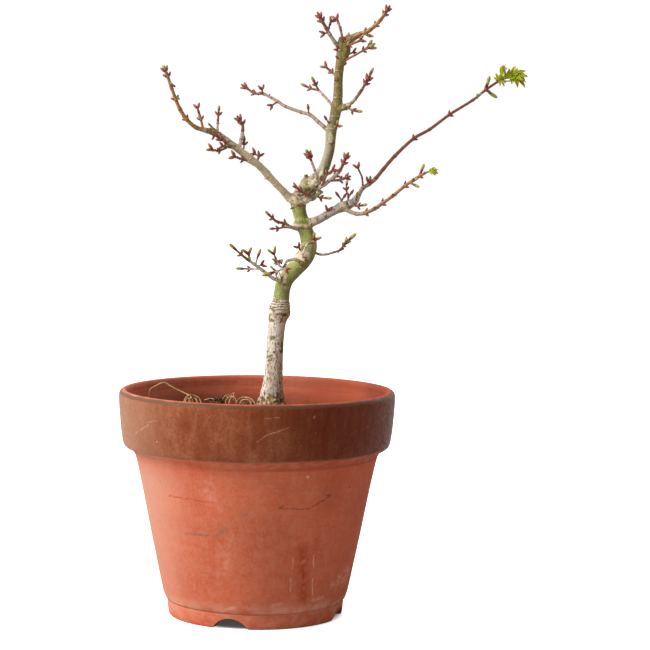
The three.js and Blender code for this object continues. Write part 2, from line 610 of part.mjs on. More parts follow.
// Tufts: a stalk on from the shoot's end, with leaves [joint, along, up, towards the front, length]
const TUFTS = {
  long_leaves: {
    stalks: [[[128, 291.2, 30.5], [131, 293, 31], [134.5, 293.8, 31], [138, 294.6, 31]],
      [[128.6, 291.6, 30.5], [130, 296, 30], [131, 299, 30]]],
    width: 1.3,
    leaves: [
      [[128.8, 292, 30.5], [-0.6, 0.6, 0.4], 4.6], [[129.2, 292, 30.5], [0.4, -0.7, 0.6], 4.8],
      [[130, 292.6, 31], [0.4, 0.7, -0.5], 4.6], [[130.8, 298, 30], [0.16, 1, 0.2], 6],
      [[130.6, 298, 30], [-0.2, 1, -0.3], 5.2], [[134, 293.8, 31], [-0.1, 0.8, 0.5], 5.8],
      [[136, 294, 31], [0.5, 0.85, -0.2], 6.6], [[137, 294.2, 31], [0.9, 0.15, 0.45], 7.6],
      [[138, 294.2, 31], [0.9, -0.45, 0.25], 7.6], [[135, 293.8, 31], [0.3, -0.75, 0.55], 5.6],
      [[138.5, 294.5, 31], [0.95, 0.3, -0.3], 7.2],
    ],
  },
  lower_leaves: {
    stalks: [[[89.5, 242.2, -27], [91.2, 242.5, -27.5], [92.8, 242.8, -28]]],
    width: 1.5,
    leaves: [
      [[91.8, 242.7, -27.5], [0.75, 0.6, 0.3], 4.8], [[92, 242.6, -28], [0.9, -0.45, 0.35], 4.6],
      [[92, 242.6, -28], [0.95, 0.1, -0.5], 4.8],
    ],
  },
};

function tuftSolid({ stalks, width, leaves }, grow = 0) {
  const pieces = stalks.map((way) => (
    stem(placesOf(way), way.map(() => width / 2), { grow })
  ));
  for (const [root, [along, up, forward], length] of leaves) {
    const ahead = new THREE.Vector3(along, -forward, up).normalize();
    const face = new THREE.Vector3(-ahead.z * 0.4, -1, ahead.x * 0.6 + 0.5);
    const from = place(root).addScaledVector(ahead, -0.4);
    pieces.push(leaf(from, ahead, face, length, grow));
  }
  return join(pieces);
}

// Litter on the soil: dry roots in loops and a clump of moss

const DRY_ROOTS = {
  dry_strand: {
    ways: [[[-60.5, 108, 22], [-59.5, 116, 23], [-58.5, 121.6, 24], [-55.5, 123.4, 24.5],
      [-51, 125.2, 24], [-47, 122.8, 23], [-41.5, 120.3, 22], [-38.5, 119, 20], [-35, 117, 17],
      [-32, 112, 14]]],
    radius: 0.5,
  },
  dry_loops: {
    ways: [
      [[-41, 110, 4], [-40, 117.2, 5], [-37, 119.2, 7], [-33.5, 117.6, 9], [-31, 115.4, 9],
        [-34, 113.6, 6], [-37.5, 113.4, 4]],
      [[-37, 119.2, 7], [-32, 119.4, 3], [-28.5, 117.6, 0], [-27, 113.6, -2], [-27, 108.5, -3]],
      [[-20, 109, 6], [-17.5, 115.8, 4], [-12.5, 117.8, 2], [-6.5, 117.2, 0.5], [-3, 114.4, -3],
        [-2.8, 109.4, -5]],
      [[-17.5, 115.8, 4], [-13.5, 115.4, 0], [-8.5, 114.8, -2], [-5, 113, -4]],
    ],
    radius: 0.55,
  },
};

function dryRootsSolid({ ways, radius }, grow = 0) {
  return join(ways.map((way) => (
    stem(placesOf(way), way.map(() => radius), { stepsPerSpan: 2, grow })
  )));
}

const MOSS_CENTRE = [-21, 113.6, 12];
const MOSS_BLADES = 30;
const MOSS_SPREAD = 5.5;

function mossSolid(grow = 0) {
  const draw = seeded(77);
  const middle = place(MOSS_CENTRE);
  const core = new THREE.IcosahedronGeometry(1, 1);
  core.scale(MOSS_SPREAD * 0.85 + grow, 3 + grow, 2.6 + grow);
  core.translate(middle.x, middle.y, middle.z);
  const pieces = [solidFrom(core)];
  for (let blade = 0; blade < MOSS_BLADES; blade += 1) {
    const across = (draw() * 2 - 1) * 0.9;
    const back = (draw() * 2 - 1) * 0.8;
    const ahead = new THREE.Vector3(across, back, 0.8 + draw() * 0.5).normalize();
    const root = middle.clone()
      .add(new THREE.Vector3(across * MOSS_SPREAD * 0.55, back * 1.8, 0.4));
    const tip = root.clone().addScaledVector(ahead, 3.2 + draw() * 2.4 + grow);
    const side = new THREE.Vector3(0, 1, 0).cross(ahead).normalize();
    const ring = ringAround(root, side, ahead.clone().cross(side), 0.75 + grow, 3);
    pieces.push(ringSolid([ring], null, tip));
  }
  return join(pieces);
}

// Pot: turned in one piece, with a drain hole and notches in its foot ring

function potSolid() {
  const radius = POT_DIAMETER / 2;
  const body = BODY_TOP_DIAMETER / 2;
  const bodyFoot = BODY_FOOT_DIAMETER / 2;
  const foot = FOOT_DIAMETER / 2;
  const mouth = MOUTH_DIAMETER / 2;
  const innerFoot = INNER_FOOT_DIAMETER / 2;
  const bandFoot = POT_HEIGHT - BAND_HEIGHT;
  const ringInside = foot - FOOT_RING_WIDTH;
  const profile = [
    [DRAIN_DIAMETER / 2, FOOT_RECESS_DEPTH], [ringInside, FOOT_RECESS_DEPTH],
    [ringInside + 0.8, 0], [foot, 0], [foot + 1.2, FOOT_HEIGHT - 1.2],
    [bodyFoot - 1.2, FOOT_HEIGHT + 0.2], [bodyFoot, FOOT_HEIGHT + 3.4],
    [body, bandFoot - 4.4], [radius - 4.6, bandFoot - 1.6], [radius - 2.9, bandFoot - 0.2],
    [radius - 2.1, bandFoot + 2.2], [radius, POT_HEIGHT - 4.2], [radius - 1, POT_HEIGHT - 0.5],
    [radius - 2.7, POT_HEIGHT], [mouth, POT_HEIGHT - 2.6],
    [innerFoot + 0.6, FLOOR_LEVEL + 5], [innerFoot - 6, FLOOR_LEVEL],
    [DRAIN_DIAMETER / 2, FLOOR_LEVEL],
  ];
  profile.push(profile[0]);
  const turned = new THREE.LatheGeometry(
    profile.map(([r, z]) => new THREE.Vector2(r, z)), POT_SIDES,
  );
  turned.rotateX(Math.PI / 2);
  let pot = solidFrom(turned);
  for (let notch = 0; notch < NOTCH_COUNT; notch += 1) {
    pot = pot.subtract(notchSolid(NOTCH_TURN + (notch / NOTCH_COUNT) * 2 * Math.PI));
  }
  return pot;
}

// An arched cutter through the foot ring, lying along a radius
function notchSolid(turn) {
  const arch = new THREE.Shape();
  const radius = ((NOTCH_WIDTH / 2) ** 2 + NOTCH_HEIGHT ** 2) / (2 * NOTCH_HEIGHT);
  const spread = Math.asin(NOTCH_WIDTH / 2 / radius);
  arch.moveTo(-NOTCH_WIDTH / 2, -1);
  for (let step = 0; step <= NOTCH_STEPS; step += 1) {
    const angle = (step / NOTCH_STEPS * 2 - 1) * spread;
    arch.lineTo(Math.sin(angle) * radius, Math.cos(angle) * radius - radius + NOTCH_HEIGHT);
  }
  arch.lineTo(NOTCH_WIDTH / 2, -1);
  const length = FOOT_RING_WIDTH + 8;
  const cutter = new THREE.ExtrudeGeometry(arch, { depth: length, bevelEnabled: false });
  cutter.rotateX(Math.PI / 2);
  cutter.translate(0, FOOT_DIAMETER / 2 + 4, 0);
  cutter.rotateZ(turn - Math.PI / 2);
  return solidFrom(cutter);
}

// Soil: fills the pot to a low mound round the trunk, with plain holes for what stands in it

function soilLevel(x, y) {
  const mound = Math.exp(-((x + 2) ** 2 + (y - 2) ** 2) / (2 * SOIL_MOUND_SPREAD ** 2));
  const grain = 0.35 * Math.sin(x * 0.9 + 1.3) * Math.sin(y * 0.8) + 0.3 * Math.sin(x * 0.37 - y * 0.51);
  return SOIL_EDGE_LEVEL + SOIL_MOUND_HEIGHT * mound + grain;
}

function soilSolid(standing) {
  const innerFoot = INNER_FOOT_DIAMETER / 2;
  const slope = (MOUTH_DIAMETER / 2 - innerFoot - 0.6) / (POT_HEIGHT - 2.6 - FLOOR_LEVEL - 5);
  const wall = (z) => innerFoot + 0.6 + (z - FLOOR_LEVEL - 5) * slope - GAP * 1.5;
  const origin = new THREE.Vector3(0, 0, 0);
  const east = new THREE.Vector3(1, 0, 0);
  const north = new THREE.Vector3(0, 1, 0);
  const flat = (radius, level) => ringAround(origin, east, north, radius, SOIL_SIDES)
    .map((point) => point.setZ(level));
  const rings = [
    flat(innerFoot - 6.5, FLOOR_LEVEL + GAP), flat(wall(FLOOR_LEVEL + 5.5), FLOOR_LEVEL + 5.5),
  ];
  for (const share of [1, 0.8, 0.58, 0.38, 0.18]) {
    const radius = wall(SOIL_EDGE_LEVEL - 1) * share;
    rings.push(flat(radius, 0).map((point) => point.setZ(soilLevel(point.x, point.y))));
  }
  const soil = ringSolid(rings, null, new THREE.Vector3(0, 0, soilLevel(0, 0)));
  return mainBody(soil.subtract(join(standing)));
}

// The whole

const bonsai = new THREE.Group();
const taken = [];

function addPiece(name, solid, colour, roughness) {
  const material = new THREE.MeshStandardMaterial({ color: colour, roughness, metalness: 0 });
  const mesh = new THREE.Mesh(geometryFrom(solid), material);
  mesh.name = name;
  bonsai.add(mesh);
}

// Seats a piece against those made before it, clear of each by the gap
function seat(solid, grown) {
  const touching = taken.filter((other) => other.boundingBox().min.every((low, axis) => (
    low < solid.boundingBox().max[axis]
    && other.boundingBox().max[axis] > solid.boundingBox().min[axis]
  )));
  taken.push(grown);
  return mainBody(touching.reduce((rest, other) => rest.subtract(other), solid));
}

addPiece('pot', potSolid(), COLOURS.clay, 0.8);

const grownWood = woodSolid(GAP);
addPiece('wood', seat(woodSolid(), grownWood), COLOURS.bark, 0.85);

Object.entries(SHOOTS).forEach(([name, stems], index) => {
  const seed = 101 + index * 37;
  addPiece(name, seat(shootSolid(stems, seed), shootSolid(stems, seed, GAP)), COLOURS.twig, 0.6);
});

Object.entries(TUFTS).forEach(([name, tuft]) => {
  addPiece(name, seat(tuftSolid(tuft), tuftSolid(tuft, GAP)), COLOURS.leaf, 0.55);
});

const standing = [grownWood];
Object.entries(DRY_ROOTS).forEach(([name, roots]) => {
  const grown = dryRootsSolid(roots, GAP);
  standing.push(grown);
  addPiece(name, seat(dryRootsSolid(roots), grown), COLOURS.dryRoot, 0.9);
});
const grownMoss = mossSolid(GAP);
standing.push(grownMoss);
addPiece('moss', seat(mossSolid(), grownMoss), COLOURS.moss, 0.95);
addPiece('soil', soilSolid(standing), COLOURS.soil, 0.95);

// The origin is on the table, at the middle of the whole outline seen from above
const outline = new THREE.Box3().setFromObject(bonsai);
const middle = outline.getCenter(new THREE.Vector3());
bonsai.children.forEach((mesh) => mesh.geometry.translate(-middle.x, -middle.y, 0));

export default bonsai;
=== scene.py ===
"""A young lion's-head maple bonsai, just breaking bud, in its clay training pot."""
import math
import random

import bpy
import numpy as np
from bpy.props import FloatProperty, FloatVectorProperty, IntProperty, PointerProperty
from bpy.types import NodeSocket, Operator, Panel, PropertyGroup
from mathutils import Euler, Matrix, Vector
from mathutils.geometry import interpolate_bezier
from mathutils.noise import noise as wave


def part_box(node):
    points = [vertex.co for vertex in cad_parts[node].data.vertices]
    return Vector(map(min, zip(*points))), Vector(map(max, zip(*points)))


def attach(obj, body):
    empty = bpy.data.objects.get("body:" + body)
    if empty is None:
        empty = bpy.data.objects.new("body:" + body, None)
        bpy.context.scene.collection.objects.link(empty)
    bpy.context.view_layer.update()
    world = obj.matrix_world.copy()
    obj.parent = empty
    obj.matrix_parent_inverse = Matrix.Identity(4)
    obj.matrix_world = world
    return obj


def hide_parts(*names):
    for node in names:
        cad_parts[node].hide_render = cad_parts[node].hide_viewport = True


bl_info = {
    "name": "Maple bonsai in a clay pot",
    "version": (1, 0, 0),
    "blender": (4, 5, 0),
    "location": "3D View > Sidebar > Bonsai",
    "description": "Models the pot, soil, wood, shoots, leaves and litter of a young maple bonsai",
    "category": "Add Mesh",
}

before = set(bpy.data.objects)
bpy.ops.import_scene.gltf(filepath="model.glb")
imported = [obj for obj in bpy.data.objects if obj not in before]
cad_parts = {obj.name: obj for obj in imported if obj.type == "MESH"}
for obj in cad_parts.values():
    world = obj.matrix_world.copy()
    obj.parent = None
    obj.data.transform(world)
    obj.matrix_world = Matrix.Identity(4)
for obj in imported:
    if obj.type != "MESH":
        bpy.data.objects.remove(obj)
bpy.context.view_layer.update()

MM = 0.001
POT_LOW, POT_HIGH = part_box("pot")
AXIS = Vector(((POT_LOW.x + POT_HIGH.x) / 2, (POT_LOW.y + POT_HIGH.y) / 2, 0))
EYE = AXIS + Vector((36.4, -1292, 268.6)) * MM


def srgb(red, green, blue):
    """A colour written as on a screen, 0 to 255, as linear light."""
    return tuple(
        (c / 12.92 if c <= 0.04045 else ((c + 0.055) / 1.055) ** 2.4)
        for c in (red / 255, green / 255, blue / 255)
    )


# Places on the tree, in millimetres, are [across, up, depth]: across and up where they show on the
# upright plane through the pot's axis, seen from the eye, and depth behind it along the line of sight.
TRUNK = [
    (7.5, 92, 0, 5), (7.5, 104, 0, 6.5), (7.5, 112, 0, 8.2), (7.6, 115.5, 0, 8), (7.9, 119.5, 0, 6.6),
    (8.4, 126, 0, 5.5), (8.8, 133, 0, 5), (9.1, 142, 0, 4.7), (9.6, 151, 0, 4.6),
    (10.3, 159, 0, 4.8), (11.2, 164.5, 0.5, 6), (12, 168, 1, 5.6), (12.4, 172, 1.5, 4.6),
    (13, 177.5, 2, 4.3), (14.6, 183, 1.5, 4.6), (19.4, 188.5, 0, 4.6), (24.4, 194.5, -2, 5),
    (26.7, 199.5, -3, 4.8), (27.1, 203, -2.5, 4.4), (25.8, 208.5, -2, 4), (24.2, 212.5, -1.5, 4.1),
    (22.6, 217, -1, 3.6), (21.6, 221, -1, 3.8), (21.4, 226, -1, 4.6), (24, 230.5, 0, 4.4),
    (28, 235, 1.5, 4), (32, 239, 3, 3.3), (34.6, 243, 4, 2.9), (36.2, 247.5, 4, 2.9),
    (37.8, 254, 4, 2.7), (38.5, 263.5, 3, 3), (40.3, 271, 2, 2.8), (41.4, 277.5, 1, 3.2),
    (41.8, 281, 0.5, 2.6), (42.1, 292, -0.5, 2.4), (42.9, 302, -1.5, 2.4), (43.3, 309.5, -2, 2.4),
    (43.9, 314, -2.5, 1.8),
]
LEFT_LIMB = [
    (22, 225, -1, 2.6), (17, 227, -2.5, 2.5), (13.2, 230.6, -4, 2), (8.7, 235.1, -5.5, 1.9),
    (4.3, 239.7, -7, 2.2), (0.3, 244, -9, 1.9), (-5.5, 248.3, -11, 2.4), (-11.1, 252.8, -13, 2),
    (-18, 257.7, -15, 1.9), (-22, 260.5, -16, 1.9), (-25.5, 262.2, -17, 1.7), (-29, 263, -18, 1.6),
]
RIGHT_LIMB = [
    (24, 213.3, -1, 2.6), (28.3, 214.2, -2, 2.6), (32, 215.6, -2, 2.2), (36, 217.8, -1.5, 2.2),
    (40, 220.2, -1, 2.2), (44, 222.4, -0.5, 2.8), (48.5, 224, 0, 2.5), (51.5, 225.8, 1, 2.2),
    (53.5, 229, 2, 1.6),
]
STUBS = [
    [(-22, 261, -16, 0.7), (-28, 267, -17, 0.56)],
    [(26, 234, 2, 1.3), (25, 240, 0, 1.04)],
    [(4.5, 240, -7, 0.8), (3.2, 237, -8, 0.64)],
    [(17, 227, -2, 0.8), (14.5, 225.6, -3, 0.64)],
    [(11.5, 165, 0, 1.6), (17.5, 164.6, 0, 1.28)],
]
LUMPS = [
    (20.5, 226, -3, 3.8), (25, 230.5, -3.5, 3.6), (28.2, 228.4, -1, 2.9), (25.2, 235.4, 1, 3),
    (30, 234.2, -1.5, 3.6), (46, 223.4, -1.5, 2.5), (24.2, 193.4, -5.5, 2.8), (22.5, 213, -2, 4),
]
# Surface roots: direction in degrees, length, radius
ROOTS = [(200, 15, 2.6), (255, 13, 2.3), (320, 15, 2.6), (20, 13, 2.2), (95, 14, 2.4), (150, 12, 2)]
ROOT_START_LEVEL = 117.5
ROOT_END_LEVEL = 104

# Shoots: each is a list of stems (joints, width at its foot and tip, first joint with a pair of buds,
# what ends it, and how far its tip has opened: 1 is closed)
SHOOTS = {
    "left_end": [
        ([(-29, 263, -18), (-34.5, 264.6, -19.5), (-39.6, 269, -21.5), (-43.2, 274.4, -23),
          (-45.4, 279.4, -24), (-48, 286.4, -26), (-49.8, 291.6, -27.5), (-51.2, 295, -28)],
         (3.1, 1.9), 2, "crown", 1.06),
        ([(-30.6, 264, -18.5), (-31.8, 268.8, -17), (-32.9, 272.4, -16), (-33.8, 275.6, -15.6)],
         (1.7, 1.4), 1, "fork", 1),
    ],
    "left_bud": [([(-22, 260.5, -16), (-25, 260, -21)], (1.5, 1.2), 9, "fork", 1)],
    "left_outer": [
        ([(-23, 261.5, -16.5), (-22.6, 268.4, -15.5), (-22.4, 271.4, -15.2), (-22.2, 273.8, -15)],
         (1.6, 1.3), 1, "bud", 1.08),
    ],
    "left_upright": [
        ([(-11, 253.5, -13), (-10, 259, -12), (-9.2, 263.4, -11.5), (-9.4, 266.6, -11.2),
          (-11, 269, -11)], (2.6, 1.6), 2, "crown", 1),
        ([(-8.8, 252, -11.5), (-8.4, 255.6, -10.5), (-8.4, 257.6, -10)], (1.3, 1), 1, "bud", 1),
    ],
    "left_under": [
        ([(-12.5, 253.4, -13.5), (-16.5, 254.2, -17), (-20.4, 254.8, -20)], (2.1, 1.5), 9, "fork", 1),
        ([(-18, 253.8, -18), (-21.4, 252.3, -20), (-24, 252.3, -22), (-26.2, 253.3, -23)],
         (1.5, 1.2), 1, "fork", 1.06),
        ([(-18.6, 254.6, -18), (-19, 257.4, -18.6), (-20.6, 258.4, -19)], (1.3, 1.1), 1, "fork", 1),
    ],
    "left_low": [
        ([(-4, 247, -10.5), (-8.8, 247.4, -14), (-11.9, 248.6, -16.5), (-13.8, 249.4, -18)],
         (1.7, 1.3), 1, "fork", 1.06),
    ],
    "left_inner": [
        ([(-1.4, 246.6, -9), (0.2, 250.2, -7)], (1.8, 1.4), 9, "fork", 1),
        ([(-0.2, 249.2, -8), (-3, 251, -6)], (1.4, 1.2), 9, "fork", 1),
    ],
    "upper_left": [
        ([(38.5, 262, 3), (34.5, 265.8, 5), (31.5, 268.3, 7), (27, 272, 10), (22, 273.5, 13),
          (13.5, 276.5, 17), (9.5, 279, 19), (6, 281, 21), (1.5, 283, 23), (-3, 283.3, 24.5),
          (-8, 286.5, 26)], (3, 1.6), 8, "crown", 1),
        ([(1.5, 283, 23), (0.8, 286, 22)], (1.4, 1.2), 9, "fork", 1),
        ([(9.5, 279, 19), (6, 276.6, 17)], (1.5, 1.2), 9, "fork", 1),
        ([(26.4, 272, 10), (26, 275.2, 9)], (1.3, 1), 9, "bud", 1),
    ],
    "upper_left_2": [
        ([(40.5, 275, 1.5), (36.7, 279.8, 4), (33.7, 283, 6), (31.4, 285.2, 8), (27.2, 286.2, 10),
          (25, 287.2, 11)], (2, 1.4), 4, "bud", 1.2),
        ([(31.4, 285.2, 8), (30, 288, 7), (29.3, 289.3, 6.5)], (1.5, 1.2), 1, "bud", 1.2),
    ],
    "upper_left_3": [
        ([(42, 291.6, 0), (38.6, 295, 1.5), (36.4, 296.8, 2.5), (34.8, 298.2, 4)],
         (1.7, 1.3), 1, "fork", 1.06),
    ],
    "front_spur": [([(39.5, 264.4, 1), (42, 266.6, -2)], (1.5, 1.3), 9, "fork", 1.1)],
    "dark_spur": [([(38.8, 266, 2), (36.8, 268.3, 0.2), (35.8, 269.8, -1)], (1.1, 1), 9, "bud", 1)],
    "top_left": [
        ([(43, 307, -2), (39.8, 311.2, -3.5), (37, 315.4, -4.5), (35, 318.8, -5.5), (33, 322, -6.5),
          (31.6, 324.6, -7.5)], (3, 2), 3, "crown", 1),
        ([(36, 316.8, -5), (37, 320.2, -3.5), (37.8, 322.2, -3), (38.8, 322.8, -2.6)],
         (1.4, 1.1), 1, "bud", 1),
        ([(36.4, 316.2, -5), (33.6, 315.6, -6)], (1.3, 1.1), 9, "fork", 1),
    ],
    "top_back": [
        ([(44, 312, -2), (43, 317.6, 0), (41.4, 322, 3), (40.4, 324, 4.5)], (1.9, 1.4), 2, "fork", 1.12),
    ],
    "top_right": [
        ([(43.4, 311, -2), (48.5, 313.2, -4), (53, 315.4, -5.5), (56, 316.4, -6.5), (58.8, 318, -7.5),
          (61.6, 320.4, -9), (64.2, 323.2, -10.5), (66.2, 326, -12), (67.8, 328.8, -13.5)],
         (3.4, 2.1), 2, "crown", 1),
        ([(54, 315.8, -6), (57.6, 315, -8)], (1.3, 1.1), 9, "bud", 1.1),
    ],
    "top_red": [
        ([(43.6, 308.4, -2), (47.5, 309.8, -6), (51, 311.2, -9), (54, 312.6, -10.5)],
         (1.8, 1.4), 1, "fork", 1.06),
    ],
    "top_small": [([(43, 302.5, -1), (46.5, 304.4, 1.5), (50.4, 306, 3)], (1.5, 1.3), 1, "fork", 1)],
    "top_low": [
        ([(42.7, 299.5, -1), (47.6, 302.6, -4), (51.2, 304.6, -6), (55, 306.8, -8), (58.4, 308.8, -9.6)],
         (1.7, 1.4), 3, "crown", 1.14),
    ],
    "right_mid": [
        ([(41.8, 276.4, 1), (46.5, 277.4, -1.5), (49.8, 279.2, -2.5), (54, 284.8, -4), (56.4, 288.8, -5),
          (57.8, 291.4, -6)], (2.7, 1.7), 3, "crown", 1),
        ([(57.8, 291.4, -6), (59, 294, -6.3)], (1.5, 1.3), 9, "bud", 1.2),
        ([(46.5, 277, -1.5), (49.6, 274.7, -4), (51.4, 274.5, -5)], (1.6, 1.2), 1, "bud", 1.2),
    ],
    "centre_spur": [
        ([(32, 235, -3), (31, 239, -8), (29.6, 243, -10), (28.3, 246.4, -11.5), (27.4, 248.6, -12.5),
          (26.6, 250.2, -13.3)], (2.1, 1.6), 4, "crown", 1.16),
    ],
    "right_cluster": [
        ([(31, 232, -2), (35.5, 235, -6), (38, 237, -7.5), (41, 239.5, -8.5), (43.5, 242.5, -9.5),
          (45.2, 246, -10.5), (46.5, 249.3, -11.5)], (3.2, 1.9), 3, "crown", 1.06),
        ([(38, 237, -7.5), (43.5, 237.2, -10.5), (47, 238.6, -12.5)], (2, 1.6), 1, "crown", 1),
        ([(34, 234, -5), (35.6, 238.3, -10.5), (37, 240.8, -12.5)], (1.9, 1.5), 9, "fork", 1),
        ([(37, 240.8, -12.5), (40, 242.8, -14)], (1.4, 1.2), 9, "fork", 1),
    ],
    "left_cluster": [
        ([(29, 230, -3), (28.4, 229.2, -6.8), (25.8, 228.9, -9), (22.6, 230.9, -10), (19.8, 233.2, -11)],
         (1.8, 1.4), 2, "fork", 1),
    ],
    "knot_spur": [([(29.5, 229, -1), (33, 227.5, -3), (35.8, 227.4, -4.5)], (1.3, 1.2), 1, "bud", 1.24)],
    "limb_pair": [([(36.3, 218, -1.5), (37.2, 221.2, -3)], (1.4, 1.2), 9, "fork", 1)],
    "limb_spur": [
        ([(44.4, 223.4, -0.5), (44.4, 226.4, -1.2), (42.8, 228.6, -2)], (1.6, 1.2), 9, "bud", 1),
        ([(44.4, 225.8, -1.2), (45.8, 228, -1.5)], (1.3, 1), 9, "bud", 0.9),
    ],
    "limb_upright": [
        ([(47, 223.8, 0), (48.2, 228, 1), (47, 232, 2), (47.2, 234.6, 2.5)], (1.5, 1.1), 1, "bud", 1.06),
        ([(48, 227.6, 1), (49.6, 230, 1)], (1.2, 1), 9, "bud", 0.9),
    ],
    "limb_green": [([(52.4, 226, 0), (52.8, 228.6, -3.5)], (1.4, 1.2), 9, "bud", 1.14)],
    "limb_low": [([(49, 223.8, -0.5), (53.4, 223.2, -4.5), (55.4, 223.6, -6)], (1.4, 1.2), 1, "bud", 1.1)],
    "long_shoot": [
        ([(53.5, 229, 2), (56, 233, 4), (59.5, 235.3, 5.5), (63, 238.5, 7.5), (67, 243.5, 10),
          (73, 250.5, 13), (83, 260, 17), (91.5, 265, 20), (102, 273, 23.5), (114.5, 281, 27),
          (121.3, 286.5, 29), (128, 291.2, 30.5)], (3.1, 1.8), 5, "none", 1),
        ([(121.3, 286.5, 29), (122, 289, 28.5)], (1.4, 1.3), 9, "bud", 1.5),
        ([(121.3, 286.5, 29), (123.6, 285, 29)], (1.4, 1.3), 9, "bud", 1.5),
        ([(56, 233, 4), (55.4, 238.8, 2.8), (53.8, 242.4, 2), (52.9, 244.4, 1.5)],
         (1.5, 1.2), 9, "fork", 1),
        ([(58.6, 234.4, 4.8), (60.2, 236.6, 4)], (1.4, 1.2), 9, "fork", 1),
        ([(59, 234.6, 5), (58.4, 237, 4.4)], (1.2, 1), 9, "bud", 0.9),
    ],
    "lower_shoot": [
        ([(44.5, 222.3, -1), (49, 220.3, -5), (53, 219, -7), (57.5, 219.6, -9), (62.5, 222, -12),
          (66.5, 224.8, -14), (72.2, 229, -17), (78.6, 234.4, -20), (83.2, 237.6, -23),
          (86.6, 239.8, -25.5), (89.5, 241.6, -27)], (2.9, 1.9), 3, "none", 1),
        ([(86.4, 239.6, -25.3), (87.4, 242.4, -25)], (1.6, 1.4), 9, "bud", 1.36),
        ([(81.6, 236, -22.5), (83.4, 235.2, -23.5)], (1.3, 1.2), 9, "bud", 1.1),
    ],
    "left_mid": [
        ([(25, 210.2, -2), (20.5, 210.6, -5.5), (16.5, 211.7, -8), (14.3, 213.3, -10),
          (10, 214.2, -13), (7.5, 216, -15), (5.8, 217.6, -16.5)], (2.8, 1.4), 3, "bud", 1.24),
        ([(18.5, 211, -6.8), (13.5, 211.3, -6), (10.5, 210.6, -7), (8, 210.5, -8)],
         (1.6, 1.1), 2, "bud", 1),
    ],
    "v_spur": [([(23.4, 198, -4), (21.3, 200.8, -7)], (1.4, 1.2), 9, "fork", 1)],
    "front_shoot": [
        ([(23, 193.6, -6), (24.2, 197.4, -9), (25.7, 201.4, -10.5), (27, 202.8, -11.2),
          (29, 203.7, -11.8), (30.2, 205.2, -12.5)], (1.5, 1.3), 4, "fork", 1.14),
    ],
    "right_small": [
        ([(27.5, 199, -3), (33, 196.9, -4), (37, 197, -6), (41, 198.2, -8), (44, 199.3, -9.5),
          (45.7, 201.5, -10.5), (47.5, 203.8, -11.5)], (2, 1.4), 4, "crown", 1.06),
        ([(47.5, 203.8, -11.5), (49.3, 205.4, -12)], (1.3, 1.2), 9, "bud", 1.3),
    ],
    "low_left_1": [
        ([(14, 181.5, 0), (8, 183.6, -3.5), (2, 188, -8), (-2.5, 191.2, -12), (-6, 193.6, -15),
          (-9.3, 196.2, -18), (-12.7, 199.2, -20)], (3, 1.5), 5, "bud", 1.36),
        ([(-4.6, 192.8, -14), (-5.2, 195.6, -15), (-5.6, 197, -15.7)], (1.5, 1.3), 1, "fork", 1.14),
        ([(-1.6, 190.8, -11), (-1, 193.6, -11), (-0.3, 195.6, -11)], (1.4, 1.2), 9, "bud", 1.2),
        ([(-0.6, 190, -10), (2, 191, -12)], (1.3, 1.1), 9, "fork", 1),
        ([(1, 188.7, -8), (-4.6, 188.5, -9), (-8.4, 188.6, -10)], (1.5, 1.2), 1, "bud", 1.3),
    ],
    "low_left_2": [
        ([(22.5, 192.8, -4), (19.6, 193.9, -9.5), (15.4, 193, -14), (14.2, 190.4, -15.5),
          (12.8, 188.9, -16.2)], (2.6, 1.8), 9, "none", 1),
        ([(12.8, 188.9, -16.2), (10.8, 191.4, -17), (9.4, 194.2, -17.5), (8, 197.4, -18)],
         (1.5, 1.3), 1, "fork", 1.1),
        ([(10.9, 191.2, -17), (9.3, 192.6, -18)], (1.2, 1.1), 9, "bud", 1.1),
        ([(12.8, 188.9, -16.2), (10, 187.2, -18), (7.4, 186.5, -19)], (1.8, 1.5), 1, "bud", 1.46),
        ([(13.2, 189.2, -16.2), (15.4, 188.2, -17)], (1.3, 1.1), 9, "fork", 1),
        ([(9.6, 187.4, -18), (8.4, 188.4, -18.6)], (1.3, 1.1), 9, "bud", 1.06),
    ],
}
PAIR_LEAN = 0.75
TIP_LEAN = 0.5
NODE_HALF = 0.6
TIP_PAIRS = {"none": 0, "bud": 0, "fork": 1, "crown": 2}
TIP_ENDED = {"none": False, "bud": True, "fork": False, "crown": True}

